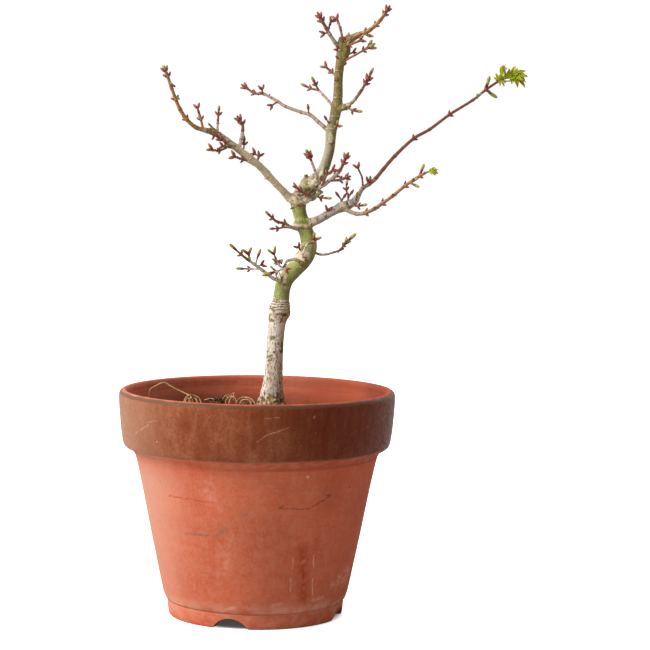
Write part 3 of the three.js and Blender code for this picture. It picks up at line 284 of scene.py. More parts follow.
# Tufts of opened leaves: stalks, and leaves (joint, along, up and towards the front, length)
TUFTS = {
    "long_leaves": {
        "stalks": [[(128, 291.2, 30.5), (131, 292.4, 31), (134.5, 293.4, 31), (138, 294.4, 31)],
                   [(128.6, 291.6, 30.5), (130, 295, 30), (130.6, 297, 30)],
                   [(129.4, 291.8, 30.5), (133, 291.4, 30), (137, 291.8, 30)]],
        "width": 1,
        "leaves": [
            ((128.6, 291.8, 30.5), (-0.5, 0.8, 0.4), 4.8, 0.5),
            ((129.2, 291.8, 30.5), (0.5, -0.5, 0.6), 4.6, 0.5),
            ((129.4, 292.4, 31), (0.2, 0.8, -0.4), 5, 0.6), ((129.6, 294.6, 30), (0.3, 1, 0.3), 7.2, 0.26),
            ((129.8, 295, 30), (0.1, 1, -0.3), 7, 0.24), ((132.6, 293, 31), (0.1, 0.9, 0.5), 5.6, 0.5),
            ((135.4, 293.8, 31), (0.2, 1, 0.1), 6.8, 0.6), ((136.4, 294.2, 31), (0.75, 0.75, 0.3), 7, 0.6),
            ((137, 294.4, 31), (0.95, 0.1, 0.4), 7.8, 0.55),
            ((137, 293.4, 31), (0.85, -0.55, 0.25), 8.2, 0.6),
            ((136, 292.8, 31), (0.45, -0.5, 0.6), 6, 0.6), ((138, 294, 31), (0.95, -0.25, -0.3), 7.6, 0.6),
            ((134, 293.4, 30), (0.6, 0.7, -0.4), 6.4, 0.7),
        ],
    },
    "lower_leaves": {
        "stalks": [[(89.5, 241.6, -27), (91.2, 242.2, -27.5), (92.6, 242.6, -28)]],
        "width": 1.3,
        "leaves": [
            ((91.8, 242.3, -27.5), (0.95, 0.4, 0.3), 5.4, 0.36),
            ((91.8, 242.2, -28), (1, -0.1, 0.3), 5.6, 0.36),
            ((91.8, 242.4, -28), (0.95, 0.15, -0.3), 5.4, 0.4),
        ],
    },
}

# Dry roots on the soil, and their radius
DRY_ROOTS = {
    "dry_strand": (
        [[(-60.5, 108, 22), (-59.4, 116, 23), (-58.8, 120, 24), (-58, 122.4, 24.2), (-55.5, 124, 24.5),
          (-50.8, 126, 24), (-47.2, 124.2, 23), (-43.4, 122.2, 22), (-38.6, 120, 20), (-35.8, 118.4, 17),
          (-33, 116.6, 14), (-31, 112, 12)]], 0.4,
    ),
    "dry_loops": (
        [[(-40, 110, 4), (-39.6, 116.6, 5), (-38, 118.6, 6), (-35.2, 119.2, 7), (-32, 118, 7),
          (-30.6, 115.4, 6), (-30.6, 109, 4)],
         [(-38, 110, 9), (-37.4, 116, 9), (-36.4, 117.6, 9), (-34.4, 118, 8), (-32.9, 116.6, 7),
          (-32.4, 110, 5)],
         [(-39.4, 110, 8), (-38.9, 116.4, 9), (-37.6, 117.6, 9), (-36.4, 116.2, 9), (-36.4, 110, 9)],
         [(-36.4, 120, 6), (-35.4, 118, 8), (-35, 115.4, 9), (-35.2, 110, 9)],
         [(-11.2, 110, 5), (-10.8, 116, 4), (-9.4, 117.9, 3), (-6.2, 118.5, 1.5), (-3, 117.4, 0),
          (-1.4, 115, -2), (-1.2, 109, -4)],
         [(-9.4, 110, 1), (-8.9, 116, 0), (-6.2, 117.3, -1), (-3.6, 116, -3), (-3, 109, -5)],
         [(-17.6, 110, 6), (-17, 116, 4), (-15.4, 118.4, 2), (-13.2, 118.8, 1), (-11.4, 116.6, 0),
          (-11.6, 110, -1)],
         [(-15.6, 110, 0), (-14.8, 117, 1), (-12.8, 119.4, 1), (-12.4, 121, 0)]], 0.42,
    ),
}
MOSS_CENTRE = (-21.6, 114.8, 12)

# Straws and bark chips: from, to, radius, on the soil where they show (across, up, depth)
STRAWS = [
    [(-14.6, 119.6, 4, 0.22), (-13.2, 120.8, 2, 0.24), (-12.4, 118.4, 0, 0.2)],
    [(27.4, 114, 10, 0.22), (27.8, 116.4, 10, 0.24), (27.5, 118.2, 10, 0.18)],
    [(29.6, 116, 11, 0.24), (32.6, 116.4, 12, 0.22)], [(-34.8, 119.4, 8, 0.36), (-34, 118.8, 8.4, 0.36)],
    [(-28.5, 116.8, 2, 0.26), (-25.4, 117.8, -2, 0.24), (-23.4, 117.2, -4, 0.2)],
    [(-19, 117.2, 4, 0.22), (-17.4, 119.4, 3, 0.24), (-15.4, 117.6, 3, 0.22), (-13.6, 119.6, 3, 0.2)],
    [(-18, 118.8, 2, 0.2), (-15.8, 119.9, 2, 0.24), (-12.6, 117, 1, 0.22)],
    [(-16.8, 116.2, 5, 0.22), (-14.4, 119, 4, 0.22), (-11.8, 119.6, 3, 0.18)],
    [(38, 112, 30, 0.34), (46, 112.4, 26, 0.3), (51, 112, 20, 0.26)],
    [(20, 114, -30, 0.34), (27, 113.6, -34, 0.3)], [(-48, 112, -12, 0.3), (-42, 112.4, -20, 0.26)],
    [(2, 113, 36, 0.34), (8, 113.6, 42, 0.3), (15, 112.6, 44, 0.26)],
]


# The pot's section, from the drain hole out, up, over the lip and down inside: radius, level
POT_SECTION = [
    (10, 5), (24, 5), (37.6, 5), (38.2, 4.6), (38.6, 3.6), (38.9, 0.9), (39.4, 0.2), (40.2, 0),
    (46.1, 0), (46.8, 0.15), (47.15, 0.6), (47.45, 1.4), (47.9, 4.2), (48.2, 7.8), (48.15, 8.15),
    (47.85, 8.4), (47.9, 8.7), (48.6, 8.95), (49.2, 9.8), (49.8, 11.2), (50.25, 12.6), (50.65, 14),
    (52.2, 21), (53.95, 29.5), (57.35, 46), (60.65, 62.7), (62.4, 71.8), (64.1, 79.6), (65.2, 84.6),
    (66.1, 87.8), (67.3, 89.8), (69.1, 91.2), (70.9, 92.1), (72, 93), (72.6, 94.1), (72.85, 95.2),
    (73.15, 96.8), (73.8, 101.2), (74.3, 106.2), (74.7, 111.6), (75.05, 116.6), (75.1, 119.4),
    (75, 120.8), (74.65, 121.8), (74.05, 122.55), (73.25, 123), (72.4, 123.15), (71.5, 122.95),
    (70.8, 122.4), (70.35, 121.5), (70.15, 120.2), (70, 118.4), (69.7, 116.6), (69.2, 115.2),
    (68.8, 114), (68, 110.6), (67, 106), (60, 78), (52, 45.5), (46, 21.4), (45, 18.2), (42.5, 14.8),
    (38.6, 13), (24, 13), (10, 13),
]
POT_SIDES = 144
NOTCH_TURN = math.radians(-104.9)
NOTCH_WIDTH = 20
NOTCH_HEIGHT = 5.9
FOOT_RADIUS = 47.1
SOIL_EDGE_LEVEL = 105
SOIL_MOUND_HEIGHT = 8.5
SOIL_MOUND_SPREAD = 22
POT_WALL = POT_SECTION[10:43]
OUTSIDE_WALL = POT_SECTION[8:47]
# Radius to which the wall is rolled out for the marks on it, and steps in which a mark's place is found
ROLLED_RADIUS = 68 * MM
WALL_STEPS = 80
SCRATCH_STRAY = 1.6 * MM
SOIL_FOOT = (45.2, 18.6)
SOIL_RADIUS = 65.9
SOIL_RINGS = 70
SOIL_SPOKES = 220
DAMP_SHARE = 0.45
MOSS_SIZE = (4.2, 2.7, 2.9)
MOSS_BLADES = 150
RING_SPACING = 1.36 * MM
# How many points are measured against the stems at a time
CHUNK = 4000
# Lights and camera: places and aim in metres from the foot of the pot's axis
KEY_PLACE = (-1.58, -0.62, 1.35)
RIM_PLACE = (1.2, 1.6, 1.2)
RIM_SHARE = 0.1
LIGHT_AIM = (0.02, 0, 0.14)
SENSOR_WIDTH = 36
BACKDROP = 1.05


# Marks on the pot, at the places where they show: from, to, width, bow (millimetres), strength
DARK_MARKS = [
    ((12.6, 57.8), (15.4, 59.2), 0.5, 0, 0.9), ((13, 57.6), (27.6, 57.4), 0.5, -0.5, 0.75),
    ((27.6, 57.4), (40.6, 65.2), 0.55, -1.2, 0.9), ((38.6, 65), (41.6, 65.3), 0.7, 0, 0.8),
    ((-44.6, 99.6), (-44.6, 99.6), 0.7, 0, 0.9), ((-52.6, 71.7), (-52.6, 71.7), 0.6, 0, 0.8),
    ((50.6, 69.5), (51.2, 70), 0.7, 0, 0.9), ((-30, 22), (-24.5, 21), 0.35, 0.3, 0.3),
    ((-55.3, 94.2), (-55.1, 94), 0.6, 0, 0.9),
]
RED_MARKS = [
    ((-47.7, 63.8), (-41, 62.9), 0.6, 0, 0.9), ((-38.6, 62.4), (-24.7, 60.3), 0.6, 0.3, 0.8),
]
GREY_MARKS = [
    ((-38.8, 43), (-34, 43), 1, 0, 0.7), ((-34, 43), (-26, 42.2), 1, 0, 1),
    ((-21.5, 42.5), (-16, 46), 1.6, 0, 0.6), ((-7, 53), (-5, 54.6), 2.2, 0, 0.4),
    ((36, 40), (37.5, 46), 0.8, 0.3, 0.3),
]
PALE_MARKS = [
    ((20.3, 30.3), (20.4, 24.2), 0.6, 0, 0.4), ((19.3, 18.7), (19.4, 12), 0.8, 0, 0.5),
    ((31.6, 31.6), (31.7, 24.4), 0.7, 0, 0.6), ((31.2, 18.8), (31.3, 9.9), 0.7, 0, 0.65),
    ((0.1, 94.1), (6.1, 98), 0.42, -0.3, 0.5), ((6.1, 98), (17.3, 102), 0.42, -0.4, 0.5),
    ((4.3, 107.1), (12.5, 107.3), 0.4, 0.2, 0.34), ((-66.4, 97.7), (-59.1, 102.7), 0.45, 0.4, 0.4),
    ((-60, 104), (-54, 105), 0.4, 0.2, 0.3), ((27.8, 75.1), (28.3, 75), 0.9, 0, 1),
    ((-54.7, 93.7), (-54.3, 93.6), 0.7, 0, 0.9), ((31.2, 107.6), (31.4, 108.6), 0.55, 0, 0.6),
    ((31.5, 7), (37, 8.6), 1.8, 0, 0.35), ((-19, 0.4), (-12, 2.4), 1.4, 0, 0.6),
    ((-46, 6), (-39.6, 3.6), 0.6, 0, 0.8), ((9, 3.4), (14, 5), 1.6, 0, 0.35),
]
BLOOM_MARKS = [
    ((-27, 69), (-24, 62), 9, 0, 0.26), ((-15.2, 40), (-17, 22), 8, 0, 0.2),
    ((44, 18), (50, 22), 8, 0, 0.4),
]
STAIN_MARKS = [
    ((25.6, 34), (26.4, 8), 6.5, 0, 0.85), ((33, 44), (33, 36), 4, 0, 0.4),
    ((40, 62), (46, 84), 12, 0, 0.3),
]


# Rings of old bud scars round the trunk: level, height, half width, waviness (millimetres)
RING_SCARS = [
    (167.2, 0.2, 0.3, 0.9), (168.9, 0.2, 0.32, 0.9), (170.4, 0.2, 0.3, 0.9), (171.9, 0.16, 0.28, 0.9),
    (210.1, 0.12, 0.4, 0.3), (212.6, 0.7, 1.0, 0.5), (243.1, 0.2, 0.3, 0.3),
    (257.3, 0.24, 0.3, 0.5), (264.9, 0.18, 0.3, 0.4), (271.6, 0.2, 0.3, 0.3), (281.8, 0.22, 0.35, 0.4),
    (288, 0.1, 0.3, 0.3), (296.1, 0.2, 0.35, 0.4), (303.3, 0.16, 0.3, 0.3), (307.2, 0.16, 0.3, 0.3),
]
# Patches on the wood where they show, by tone: across, up, half width and half height, strength
BARK_SPOTS = {
    "mossy": [
        (7.7, 151.2, 1.7, 1.5, 0.8), (6.4, 140.2, 1.6, 1.9, 0.8), (5.4, 143.6, 1.4, 0.9, 0.6),
        (13.4, 146.8, 1, 2.6, 1), (6.8, 162.4, 1, 2.4, 1), (7.6, 160.4, 1.6, 0.8, 0.9),
        (14.1, 164.2, 1.6, 1, 1), (12.6, 160, 0.8, 1, 0.8), (9, 156.6, 0.8, 0.7, 0.7),
        (9.6, 171.4, 1.9, 1, 0.8), (25, 219.6, 1.2, 3, 0.3), (25.2, 231.8, 2.2, 1.5, 0.9),
        (36.4, 240, 1.4, 1.4, 0.7), (47.4, 305.6, 1.1, 2.6, 0.7), (45.4, 301, 1.2, 2, 0.7),
        (44, 289, 0.8, 4, 0.4), (-15.6, 254.8, 3, 0.8, 0.8), (51.8, 224, 1.2, 1, 0.6),
        (9.4, 116.6, 1.2, 0.8, 1), (14.6, 119, 0.8, 1.4, 1), (2.6, 118.2, 0.8, 0.8, 0.9),
    ],
    # Dark patches: some are dark bark and algae, some are painted shade in the crevices between the folds,
    # under the knot and in the holes of the root collar
    "dark": [
        (8.8, 143.4, 1.4, 0.7, 0.5), (13, 144, 0.9, 1, 0.9), (14.4, 163.6, 0.9, 0.8, 0.9),
        (12.7, 184, 0.6, 3, 0.9), (10.2, 184.6, 0.5, 2.6, 0.7), (25.6, 193.6, 0.7, 0.6, 1),
        (24, 190.9, 0.9, 0.4, 1), (21.6, 193, 1.8, 0.5, 0.7), (28.4, 213.4, 0.8, 2, 0.5),
        (24.6, 228.7, 6, 0.8, 0.75), (31.3, 233.2, 1, 1.3, 0.9), (28.4, 238.4, 0.5, 1.4, 0.3),
        (45.4, 312.6, 1.6, 1.4, 0.6), (43.3, 296, 1, 2.4, 0.3), (46.6, 276, 1.2, 0.8, 0.5),
        (47.6, 224.8, 0.5, 1.8, 0.6), (9.4, 118.4, 0.9, 0.7, 1), (12.6, 116.6, 2.2, 1, 1),
        (0.1, 116.6, 1.2, 1, 1), (4, 120.6, 0.5, 1.2, 0.9), (11, 120.3, 0.6, 1.2, 0.9),
    ],
    "red": [
        (10.6, 147.4, 1.8, 1.9, 0.55), (13.4, 161.6, 1.4, 2, 0.7), (14.4, 180.2, 1.2, 0.7, 0.8),
        (24.9, 190.8, 1.7, 1.5, 1), (24.6, 192.2, 3, 1.4, 0.62), (25.2, 194.2, 2.2, 1.4, 0.6),
        (31.6, 216.4, 0.7, 2, 0.6), (22.6, 223.4, 2.2, 1.1, 1), (26, 222.9, 1.6, 1.2, 0.8),
        (36.8, 233.2, 1.6, 0.7, 0.9), (39, 257, 1.6, 0.8, 0.9), (44.4, 313, 2.4, 2, 0.9),
        (42.6, 297, 1.4, 2.6, 0.6), (51, 314, 3, 1, 0.6), (49.6, 278.8, 1, 1, 0.7),
        (45, 221.8, 1.2, 1, 0.6), (36.4, 217.4, 0.9, 0.9, 0.7),
    ],
    "tan": [
        (12.4, 163, 2, 3, 0.6), (24.8, 195.8, 3.2, 2.8, 1), (17.8, 193.6, 3, 1.2, 0.9),
        (16.4, 211.4, 2, 2, 0.9), (18.4, 209, 1.4, 3, 0.8), (27.4, 238.4, 1.6, 1.8, 1),
        (38.2, 259.6, 1.7, 4, 0.7), (47.4, 277.8, 2.4, 1.3, 0.56),
    ],
    "pale": [
        (8.4, 172.6, 1, 1, 0.8), (11.4, 185, 2, 3.4, 1), (8.8, 183.6, 1.6, 3, 0.8),
        (14.2, 183, 1.3, 2.4, 0.9), (15.6, 178.4, 1.8, 1.3, 0.8), (5.6, 184, 2, 2, 0.7),
        (23.8, 190, 2.6, 0.5, 0.7), (22, 195.4, 2.6, 1.8, 0.9), (22.6, 199.6, 1.2, 2.8, 0.9),
        (26.4, 196.6, 1.6, 1.6, 0.8), (31.2, 199.4, 1.7, 4.6, 0.8), (30.6, 196, 1.2, 1, 0.8),
        (29.4, 214.2, 2.6, 2.6, 1), (22, 226.8, 6, 3.2, 1), (19, 229.4, 2.6, 2.2, 1),
        (30.4, 228, 3, 1.8, 0.7), (29.6, 235.2, 3.2, 2.2, 0.9), (27, 234.4, 1.6, 1, 0.9),
        (33.4, 239.4, 1.4, 3.4, 0.9), (44.8, 276.6, 0.6, 1.6, 0.6), (-1, 249.4, 2.8, 2.2, 1),
        (2.6, 246, 2, 1.6, 0.8), (9, 236.8, 1.2, 1.2, 0.8), (-8.8, 253.4, 1.8, 1.6, 0.8),
        (-22, 260.8, 2.2, 1, 0.6), (46.2, 223.6, 2.4, 2.4, 1),
    ],
    # Greyish-green patches on the green bark
    "grey_green": [
        (28.4, 199.4, 2.2, 3.6, 0.9), (11.4, 175.2, 1.5, 2.4, 0.56),
    ],
    "lichen": [
        (31, 228.4, 1.8, 1.4, 0.9), (35.4, 231.6, 1.7, 1, 1), (5.3, 117.1, 2, 1, 0.7),
    ],
    "grey": [
        (50.2, 225.6, 1.4, 1.2, 1),
    ],
}
# Folds and lumps that stand proud of the knot and of the root flare: across, up, depth, radius
FOLDS = [
    [(15.4, 228.2, -3, 1.5), (18.6, 225, -4.6, 1.7), (22.8, 224.6, -5.2, 1.6), (27, 226.4, -4.6, 1.4),
     (31, 228.6, -3.6, 1.2), (34, 231, -2.2, 0.9)],
    [(25.6, 233.6, -3.6, 0.9), (28.2, 236, -2.8, 1.1), (31.6, 236.2, -2.6, 1), (33.2, 233.4, -2.8, 0.9)],
    [(31, 235.8, -0.6, 1.3), (34, 240.2, 0.4, 1.1), (35, 243.6, 1.4, 0.8)],
    [(9.2, 186.2, -3.4, 0.5), (10.8, 181.6, -3.2, 0.5)], [(11, 187, -3.6, 0.5), (13, 182, -3, 0.5)],
    [(26.8, 216.4, -4, 1.1), (28.2, 212.4, -3.6, 1)], [(29.4, 216.8, -3.8, 0.9), (30.6, 213, -3.2, 0.9)],
    [(31.8, 217.2, -3.2, 0.7), (32.8, 214, -3, 0.8)],
    [(44.6, 225.2, -2.6, 1.3), (46, 222.6, -3.2, 1.7), (46.8, 220.4, -2.6, 1.3)],
    [(48.8, 226.2, -1.8, 1), (50, 223.4, -2.2, 1.2)], [(51.6, 228, 0, 1.2), (52.8, 226.2, -0.4, 1.2)],
    [(43.6, 299.6, -1, 1.9), (44.6, 303, -1.4, 2.6), (45.4, 306.4, -1.6, 2.9), (45.8, 309.8, -1.8, 2.7),
     (45.8, 312.4, -2.2, 1.8)],
    [(45.4, 309.4, -1, 1.8), (48, 312.6, -3, 2.1), (51.4, 314.6, -4.2, 1.9), (54.6, 315.9, -5.4, 1.5)],
    [(44, 309.4, -1, 1.6), (41.6, 310.8, -2.6, 1.2)], [(45.8, 313, -1, 1.4), (47.6, 315.2, -1.6, 0.9)],
    [(41.4, 275.4, 0.4, 2.2), (45.4, 276.4, -1, 1.9), (48.8, 277.8, -2, 1.4)],
    [(46, 274.8, -1, 1.1), (47.6, 278.8, -1.6, 1)], [(29.6, 212.6, -3, 0.5), (30.2, 216.6, -3, 0.5)],
    [(5.8, 169, -4, 0.4), (9.6, 164.4, -5.6, 0.5), (13, 165.6, -4.6, 0.4)],
]

# Shoots that differ from a plain one: how green their opening buds are, how amber the wood is, what
# share of their length is old wood, and how pale lilac that is
PLAIN_SHOOT = (0.12, 0.1, 0.3, 0.15)
SHOOT_LOOKS = {
    "left_end": (0.62, 1, 0.05, 0.15), "left_outer": (0.6, 0.1, 0.3, 0.3),
    "left_upright": (0.5, 0.1, 0.45, 0.6), "left_under": (0.5, 0.1, 0.4, 0.3),
    "left_low": (0.5, 0.1, 0.3, 0.15), "upper_left": (0.15, 0.3, 0.8, 0.1),
    "upper_left_2": (0.6, 0.1, 0.6, 0.3), "upper_left_3": (0.7, 0.1, 0.3, 0.15),
    "front_spur": (1, 0.1, 0.3, 0.15), "top_left": (0.12, 0.3, 0.5, 0.35),
    "top_back": (0.2, 0.1, 0.3, 0.15), "top_right": (0.4, 1, 0.16, 0.15),
    "top_red": (0.7, 0.1, 0.05, 0.15), "top_small": (0.12, 0.1, 0, 0.15),
    "top_low": (0.8, 0.2, 0.05, 0.15), "right_mid": (0.55, 0.35, 0.46, 0.15),
    "centre_spur": (0.35, 0.1, 0.7, 0.5), "right_cluster": (0.35, 0.2, 0.6, 0.4),
    "knot_spur": (0.9, 0.1, 0.3, 0.15), "limb_spur": (0.12, 0.1, 0.8, 0.15),
    "limb_upright": (0.6, 0.1, 0.3, 0.5), "limb_green": (0.9, 0.1, 0.3, 0.15),
    "limb_low": (0.8, 0.1, 0.3, 0.15), "long_shoot": (1, 0.15, 0.24, 0.15),
    "lower_shoot": (0.85, 0.7, 0.3, 0.15), "left_mid": (0.55, 0.3, 0.5, 0.3),
    "front_shoot": (0.9, 0.1, 0.6, 1), "right_small": (0.8, 0.1, 0.5, 0.15),
    "low_left_1": (0.75, 0.4, 0.6, 0.9), "low_left_2": (0.9, 0.3, 0.75, 0.9),
}
NODULE_SIZE = 0.42

# Small buds straight out of the old wood: place, direction (across, up, towards the front), size, green
TRUNK_BUDS = [
    ((41.6, 307.6, -3.6), (-0.5, 0.8, 0.5), 0.9, 0.1), ((41.4, 302.6, -3.6), (-0.6, 0.7, 0.5), 0.8, 0),
    ((44.6, 298.8, -1), (0.8, 0.6, 0.1), 0.9, 0.2), ((40.8, 292.4, -1.6), (-0.3, -0.9, 0.4), 0.9, 0.1),
    ((41.4, 292.2, -2.4), (-0.1, -1, 0.3), 0.85, 0.1), ((40.2, 265.2, 0.4), (0.3, 0.7, 0.7), 0.8, 0.7),
    ((46.6, 312.6, -2.6), (0.2, 1, 0.2), 1.25, 0.9), ((45.4, 312.4, -4), (-0.4, 0.8, 0.5), 0.9, 0),
    ((48, 312.8, -4.6), (0.5, 0.8, 0.4), 0.9, 0.1), ((46.8, 308.8, -5), (0.1, 0.8, 0.6), 1.15, 0.9),
    ((41.2, 307, -3.4), (-0.9, 0.1, 0.4), 0.9, 0), ((117, 282.2, 27.4), (-0.1, 0.7, 0.7), 1.1, 1),
    ((118, 283.4, 27.6), (0.5, 0.7, 0.6), 0.9, 1), ((84, 237.6, -24.6), (0.6, 0.4, 0.7), 0.9, 0.9),
    ((-46, 286.4, -26.6), (-0.8, 0.6, 0.2), 1.15, 0.9), ((-43.6, 279.6, -24.6), (-0.5, 0.6, 0.6), 0.8, 1),
    ((-4.8, 193.4, -16.2), (-0.1, 0.9, 0.5), 0.9, 1), ((12.4, 191.6, -17.4), (0.1, 0.9, 0.3), 1.05, 1),
    ((28, 193.2, -3.5), (0.9, 0.5, 0.2), 0.8, 0), ((18.4, 222, -4), (-0.8, -0.4, 0.4), 0.8, 0),
]


# Settings

def tint(name, text, *screen):
    """A colour setting, its default written as on a screen."""
    return FloatVectorProperty(name=name, description=text, subtype="COLOR", default=srgb(*screen))


def measure(name, text, millimetres):
    return FloatProperty(name=name, description=text, default=millimetres * MM, unit="LENGTH")


class PotSettings(PropertyGroup):
    """Sizes and colours of the pot."""
    band_foot: measure("Glaze foot", "Level where the glaze on the band ends", 92.5)
    band_top: measure("Glaze top", "Level where the glaze starts under the lip", 122.6)
    wobble: measure("Wobble", "How far the turned wall strays from round", 0.14)
    clay: tint("Clay", "Fired clay", 184, 92, 62)
    bloom: tint("Bloom", "Pale lime bloom on the clay", 200, 150, 126)
    # Damp, darker clay; the same colour also paints shade on the right of the pot
    stain_and_shade: tint("Stain", "Damp, darker clay", 134, 56, 34)
    glaze: tint("Glaze", "Thin brown glaze on the band", 122, 58, 30)
    glaze_thin: tint("Thin glaze", "Glaze where it has run thin", 160, 98, 68)


class TreeSettings(PropertyGroup):
    """Sizes and colours of the tree."""
    wood_grain: measure("Wood detail", "Edge of the smallest faces of the trunk", 0.46)
    twig_grain: measure("Twig detail", "Edge of the smallest faces of the twigs", 0.27)
    bud_length: measure("Bud length", "Length of a plain closed bud", 2.9)
    bud_radius: measure("Bud radius", "Half the width of a plain closed bud", 0.7)
    cork: tint("Cork", "Dry corky bark", 210, 198, 184)
    green: tint("Green bark", "Smooth green bark", 140, 142, 70)
    olive: tint("Olive bark", "Olive bark of the upper trunk", 118, 106, 50)
    tan: tint("Tan bark", "Smooth beige bark of the left limb", 192, 176, 140)
    grey: tint("Grey bark", "Grey bark with a lilac cast", 180, 170, 162)
    flecks: tint("Cracks", "Dark cracks in the cork", 118, 94, 68)
    moss: tint("Algae", "Olive patches on the bark", 98, 98, 48)
    young: tint("Young twig", "Red bark of last year's twigs", 120, 60, 46)
    amber: tint("Amber twig", "Orange-brown bark of stronger twigs", 147, 105, 34)
    old: tint("Old twig", "Grey-brown bark of older twigs", 136, 112, 86)
    lilac: tint("Lilac twig", "Pale bark with a lilac cast", 218, 202, 186)
    twig_share: FloatProperty(
        name="Twig width", description="Share of the given width that the twigs keep", default=0.8)
    bud: tint("Bud", "Closed bud scales", 110, 34, 33)
    bud_edge: tint("Bud edge", "Paler edges of the bud scales", 168, 94, 74)
    tip: tint("Opening tip", "Leaf tips that push out of the buds", 120, 138, 26)
    leaf: tint("Leaf", "Young leaf", 150, 166, 18)
    leaf_edge: tint("Leaf edge", "Warm tinge of the leaf's teeth", 150, 132, 30)


class GroundSettings(PropertyGroup):
    """The soil and the litter on it."""
    crumbs: IntProperty(
        name="Crumbs", description="How many loose crumbs lie on the soil", default=2300, min=0)
    crumb_size: measure("Crumb size", "Radius of a middling crumb", 1.05)
    soil: tint("Soil", "Damp potting soil", 66, 48, 35)
    soil_pale: tint("Dry soil", "Dry crumbs", 128, 98, 68)
    dry_root: tint("Dry root", "Dry straw-coloured roots", 176, 136, 86)
    tuft: tint("Tuft", "Dark moss", 84, 56, 30)


class StageSettings(PropertyGroup):
    """Camera, floor and light."""
    lens: FloatProperty(
        name="Lens", description="Focal length on a 36 mm sensor", default=132.3, unit="CAMERA")
    pitch: FloatProperty(
        name="Pitch", description="How far the camera looks down", default=0.085, unit="ROTATION")
    roll: FloatProperty(
        name="Roll", description="How far the camera is turned about its view", default=0.012,
        unit="ROTATION")
    key: FloatProperty(
        name="Key light", description="Power of the soft light from the front left", default=64,
        unit="POWER")
    front_light: FloatProperty(
        name="Front light", description="Strength of the room's light from the camera's side", default=0.42)
    back_light: FloatProperty(
        name="Back light", description="Strength of the light off the pale backdrop", default=1.0)
    floor_glow: FloatProperty(
        name="Floor glow", description="Light of the floor's own, so that it stays white", default=1.0)
    floor: FloatVectorProperty(
        name="Floor", description="Plain pale floor", subtype="COLOR", default=(0.6, 0.6, 0.6))


# Places

def place(joint):
    """The place in the shared frame of a joint of the tree."""
    across, up, depth = joint[:3]
    sight = AXIS + Vector((across, 0, up)) * MM - EYE
    return EYE + sight * ((sight.y + depth * MM) / sight.y)


def heading(along, up, forward):
    """A direction given as across the view, up and towards the front."""
    return Vector((along, -forward, up)).normalized()


def deselect():
    bpy.ops.object.select_all(action="DESELECT")


def pick(piece):
    """Makes one object the only selected one."""
    deselect()
    piece.select_set(True)
    bpy.context.view_layer.objects.active = piece


def joined(pieces):
    """One object of several; it keeps the first one's name."""
    pick(pieces[0])
    for piece in pieces[1:]:
        piece.select_set(True)
    if len(pieces) > 1:
        bpy.ops.object.join()
    return bpy.context.object


def apply_modifier(piece, kind, **settings):
    pick(piece)
    modifier = piece.modifiers.new("finish", kind)
    for key, value in settings.items():
        setattr(modifier, key, value)
    bpy.ops.object.modifier_apply(modifier=modifier.name)


def settle(piece):
    """Leaves the object at the origin with its place in its mesh."""
    pick(piece)
    bpy.ops.object.transform_apply(location=True, rotation=True, scale=True)


def smooth(piece):
    pick(piece)
    bpy.ops.object.shade_smooth()


def add_object(name, mesh):
    made = bpy.data.objects.new(name, mesh)
    bpy.context.scene.collection.objects.link(made)
    return made


def ball(subdivisions, radius=1.0, location=(0, 0, 0)):
    deselect()
    bpy.ops.mesh.primitive_ico_sphere_add(subdivisions=subdivisions, radius=radius, location=location)
    return bpy.context.object


def rows_of(piece, what):
    flat = np.empty(len(piece.data.vertices) * 3)
    piece.data.vertices.foreach_get(what, flat)
    return flat.reshape(-1, 3)


def points_of(piece):
    """The mesh's points, as rows of metres."""
    return rows_of(piece, "co")


def normals_of(piece):
    return rows_of(piece, "normal")


def move_points(piece, points):
    piece.data.vertices.foreach_set("co", points.ravel())
    piece.data.update()


def mark(piece, **marks):
    """Writes numbers for the points, one for all or one for each, which the materials read."""
    for name, values in marks.items():
        attribute = piece.data.attributes.get(name)
        if attribute is None:
            attribute = piece.data.attributes.new(name, "FLOAT", "POINT")
        every = np.broadcast_to(np.asarray(values, np.float32), len(piece.data.vertices))
        attribute.data.foreach_set("value", np.ascontiguousarray(every))


def hand_over(piece, finish, slot, *nodes):
    """Gives the piece its finish, and lets it ride on the body and stand for its nodes."""
    if finish:
        piece.data.materials.append(finish)
    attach(piece, "root")
    if nodes:
        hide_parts(*nodes)


def smooth_step(low, high, values):
    t = np.clip((np.asarray(values, float) - low) / (high - low), 0, 1)
    return t * t * (3 - 2 * t)


def waves(points, scale, shift=0.0):
    """Smooth noise, about -1 to 1, at each point; scale is per millimetre, one number or three."""
    scaled = points / MM * np.asarray(scale) + shift
    return np.array([wave(Vector(row)) for row in scaled])


def turned(name, rows, sides, unit=MM, centre=AXIS, fill="NGON"):
    """A circle grown ring by ring through rows of radius and level; it stays in edit mode."""
    radius, level = rows[0]
    deselect()
    bpy.ops.mesh.primitive_circle_add(vertices=sides, radius=radius * unit, fill_type=fill,
                                      location=(centre[0], centre[1], level * unit))
    piece = bpy.context.object
    piece.name = name
    settle(piece)
    bpy.ops.object.mode_set(mode="EDIT")
    bpy.ops.mesh.select_mode(type="EDGE")
    bpy.ops.mesh.select_all(action="SELECT")
    for (before, low), (after, high) in zip(rows, rows[1:]):
        bpy.ops.mesh.extrude_region_move(TRANSFORM_OT_translate={"value": (0, 0, (high - low) * unit)})
        bpy.ops.transform.resize(value=(after / before, after / before, 1),
                                 center_override=(centre[0], centre[1], high * unit))
    return piece


def face_outwards():
    """Turns all faces outwards and leaves edit mode."""
    bpy.ops.mesh.select_all(action="SELECT")
    bpy.ops.mesh.normals_make_consistent(inside=False)
    bpy.ops.object.mode_set(mode="OBJECT")


# Stems: a line of samples (place, position along the joints) with a radius each

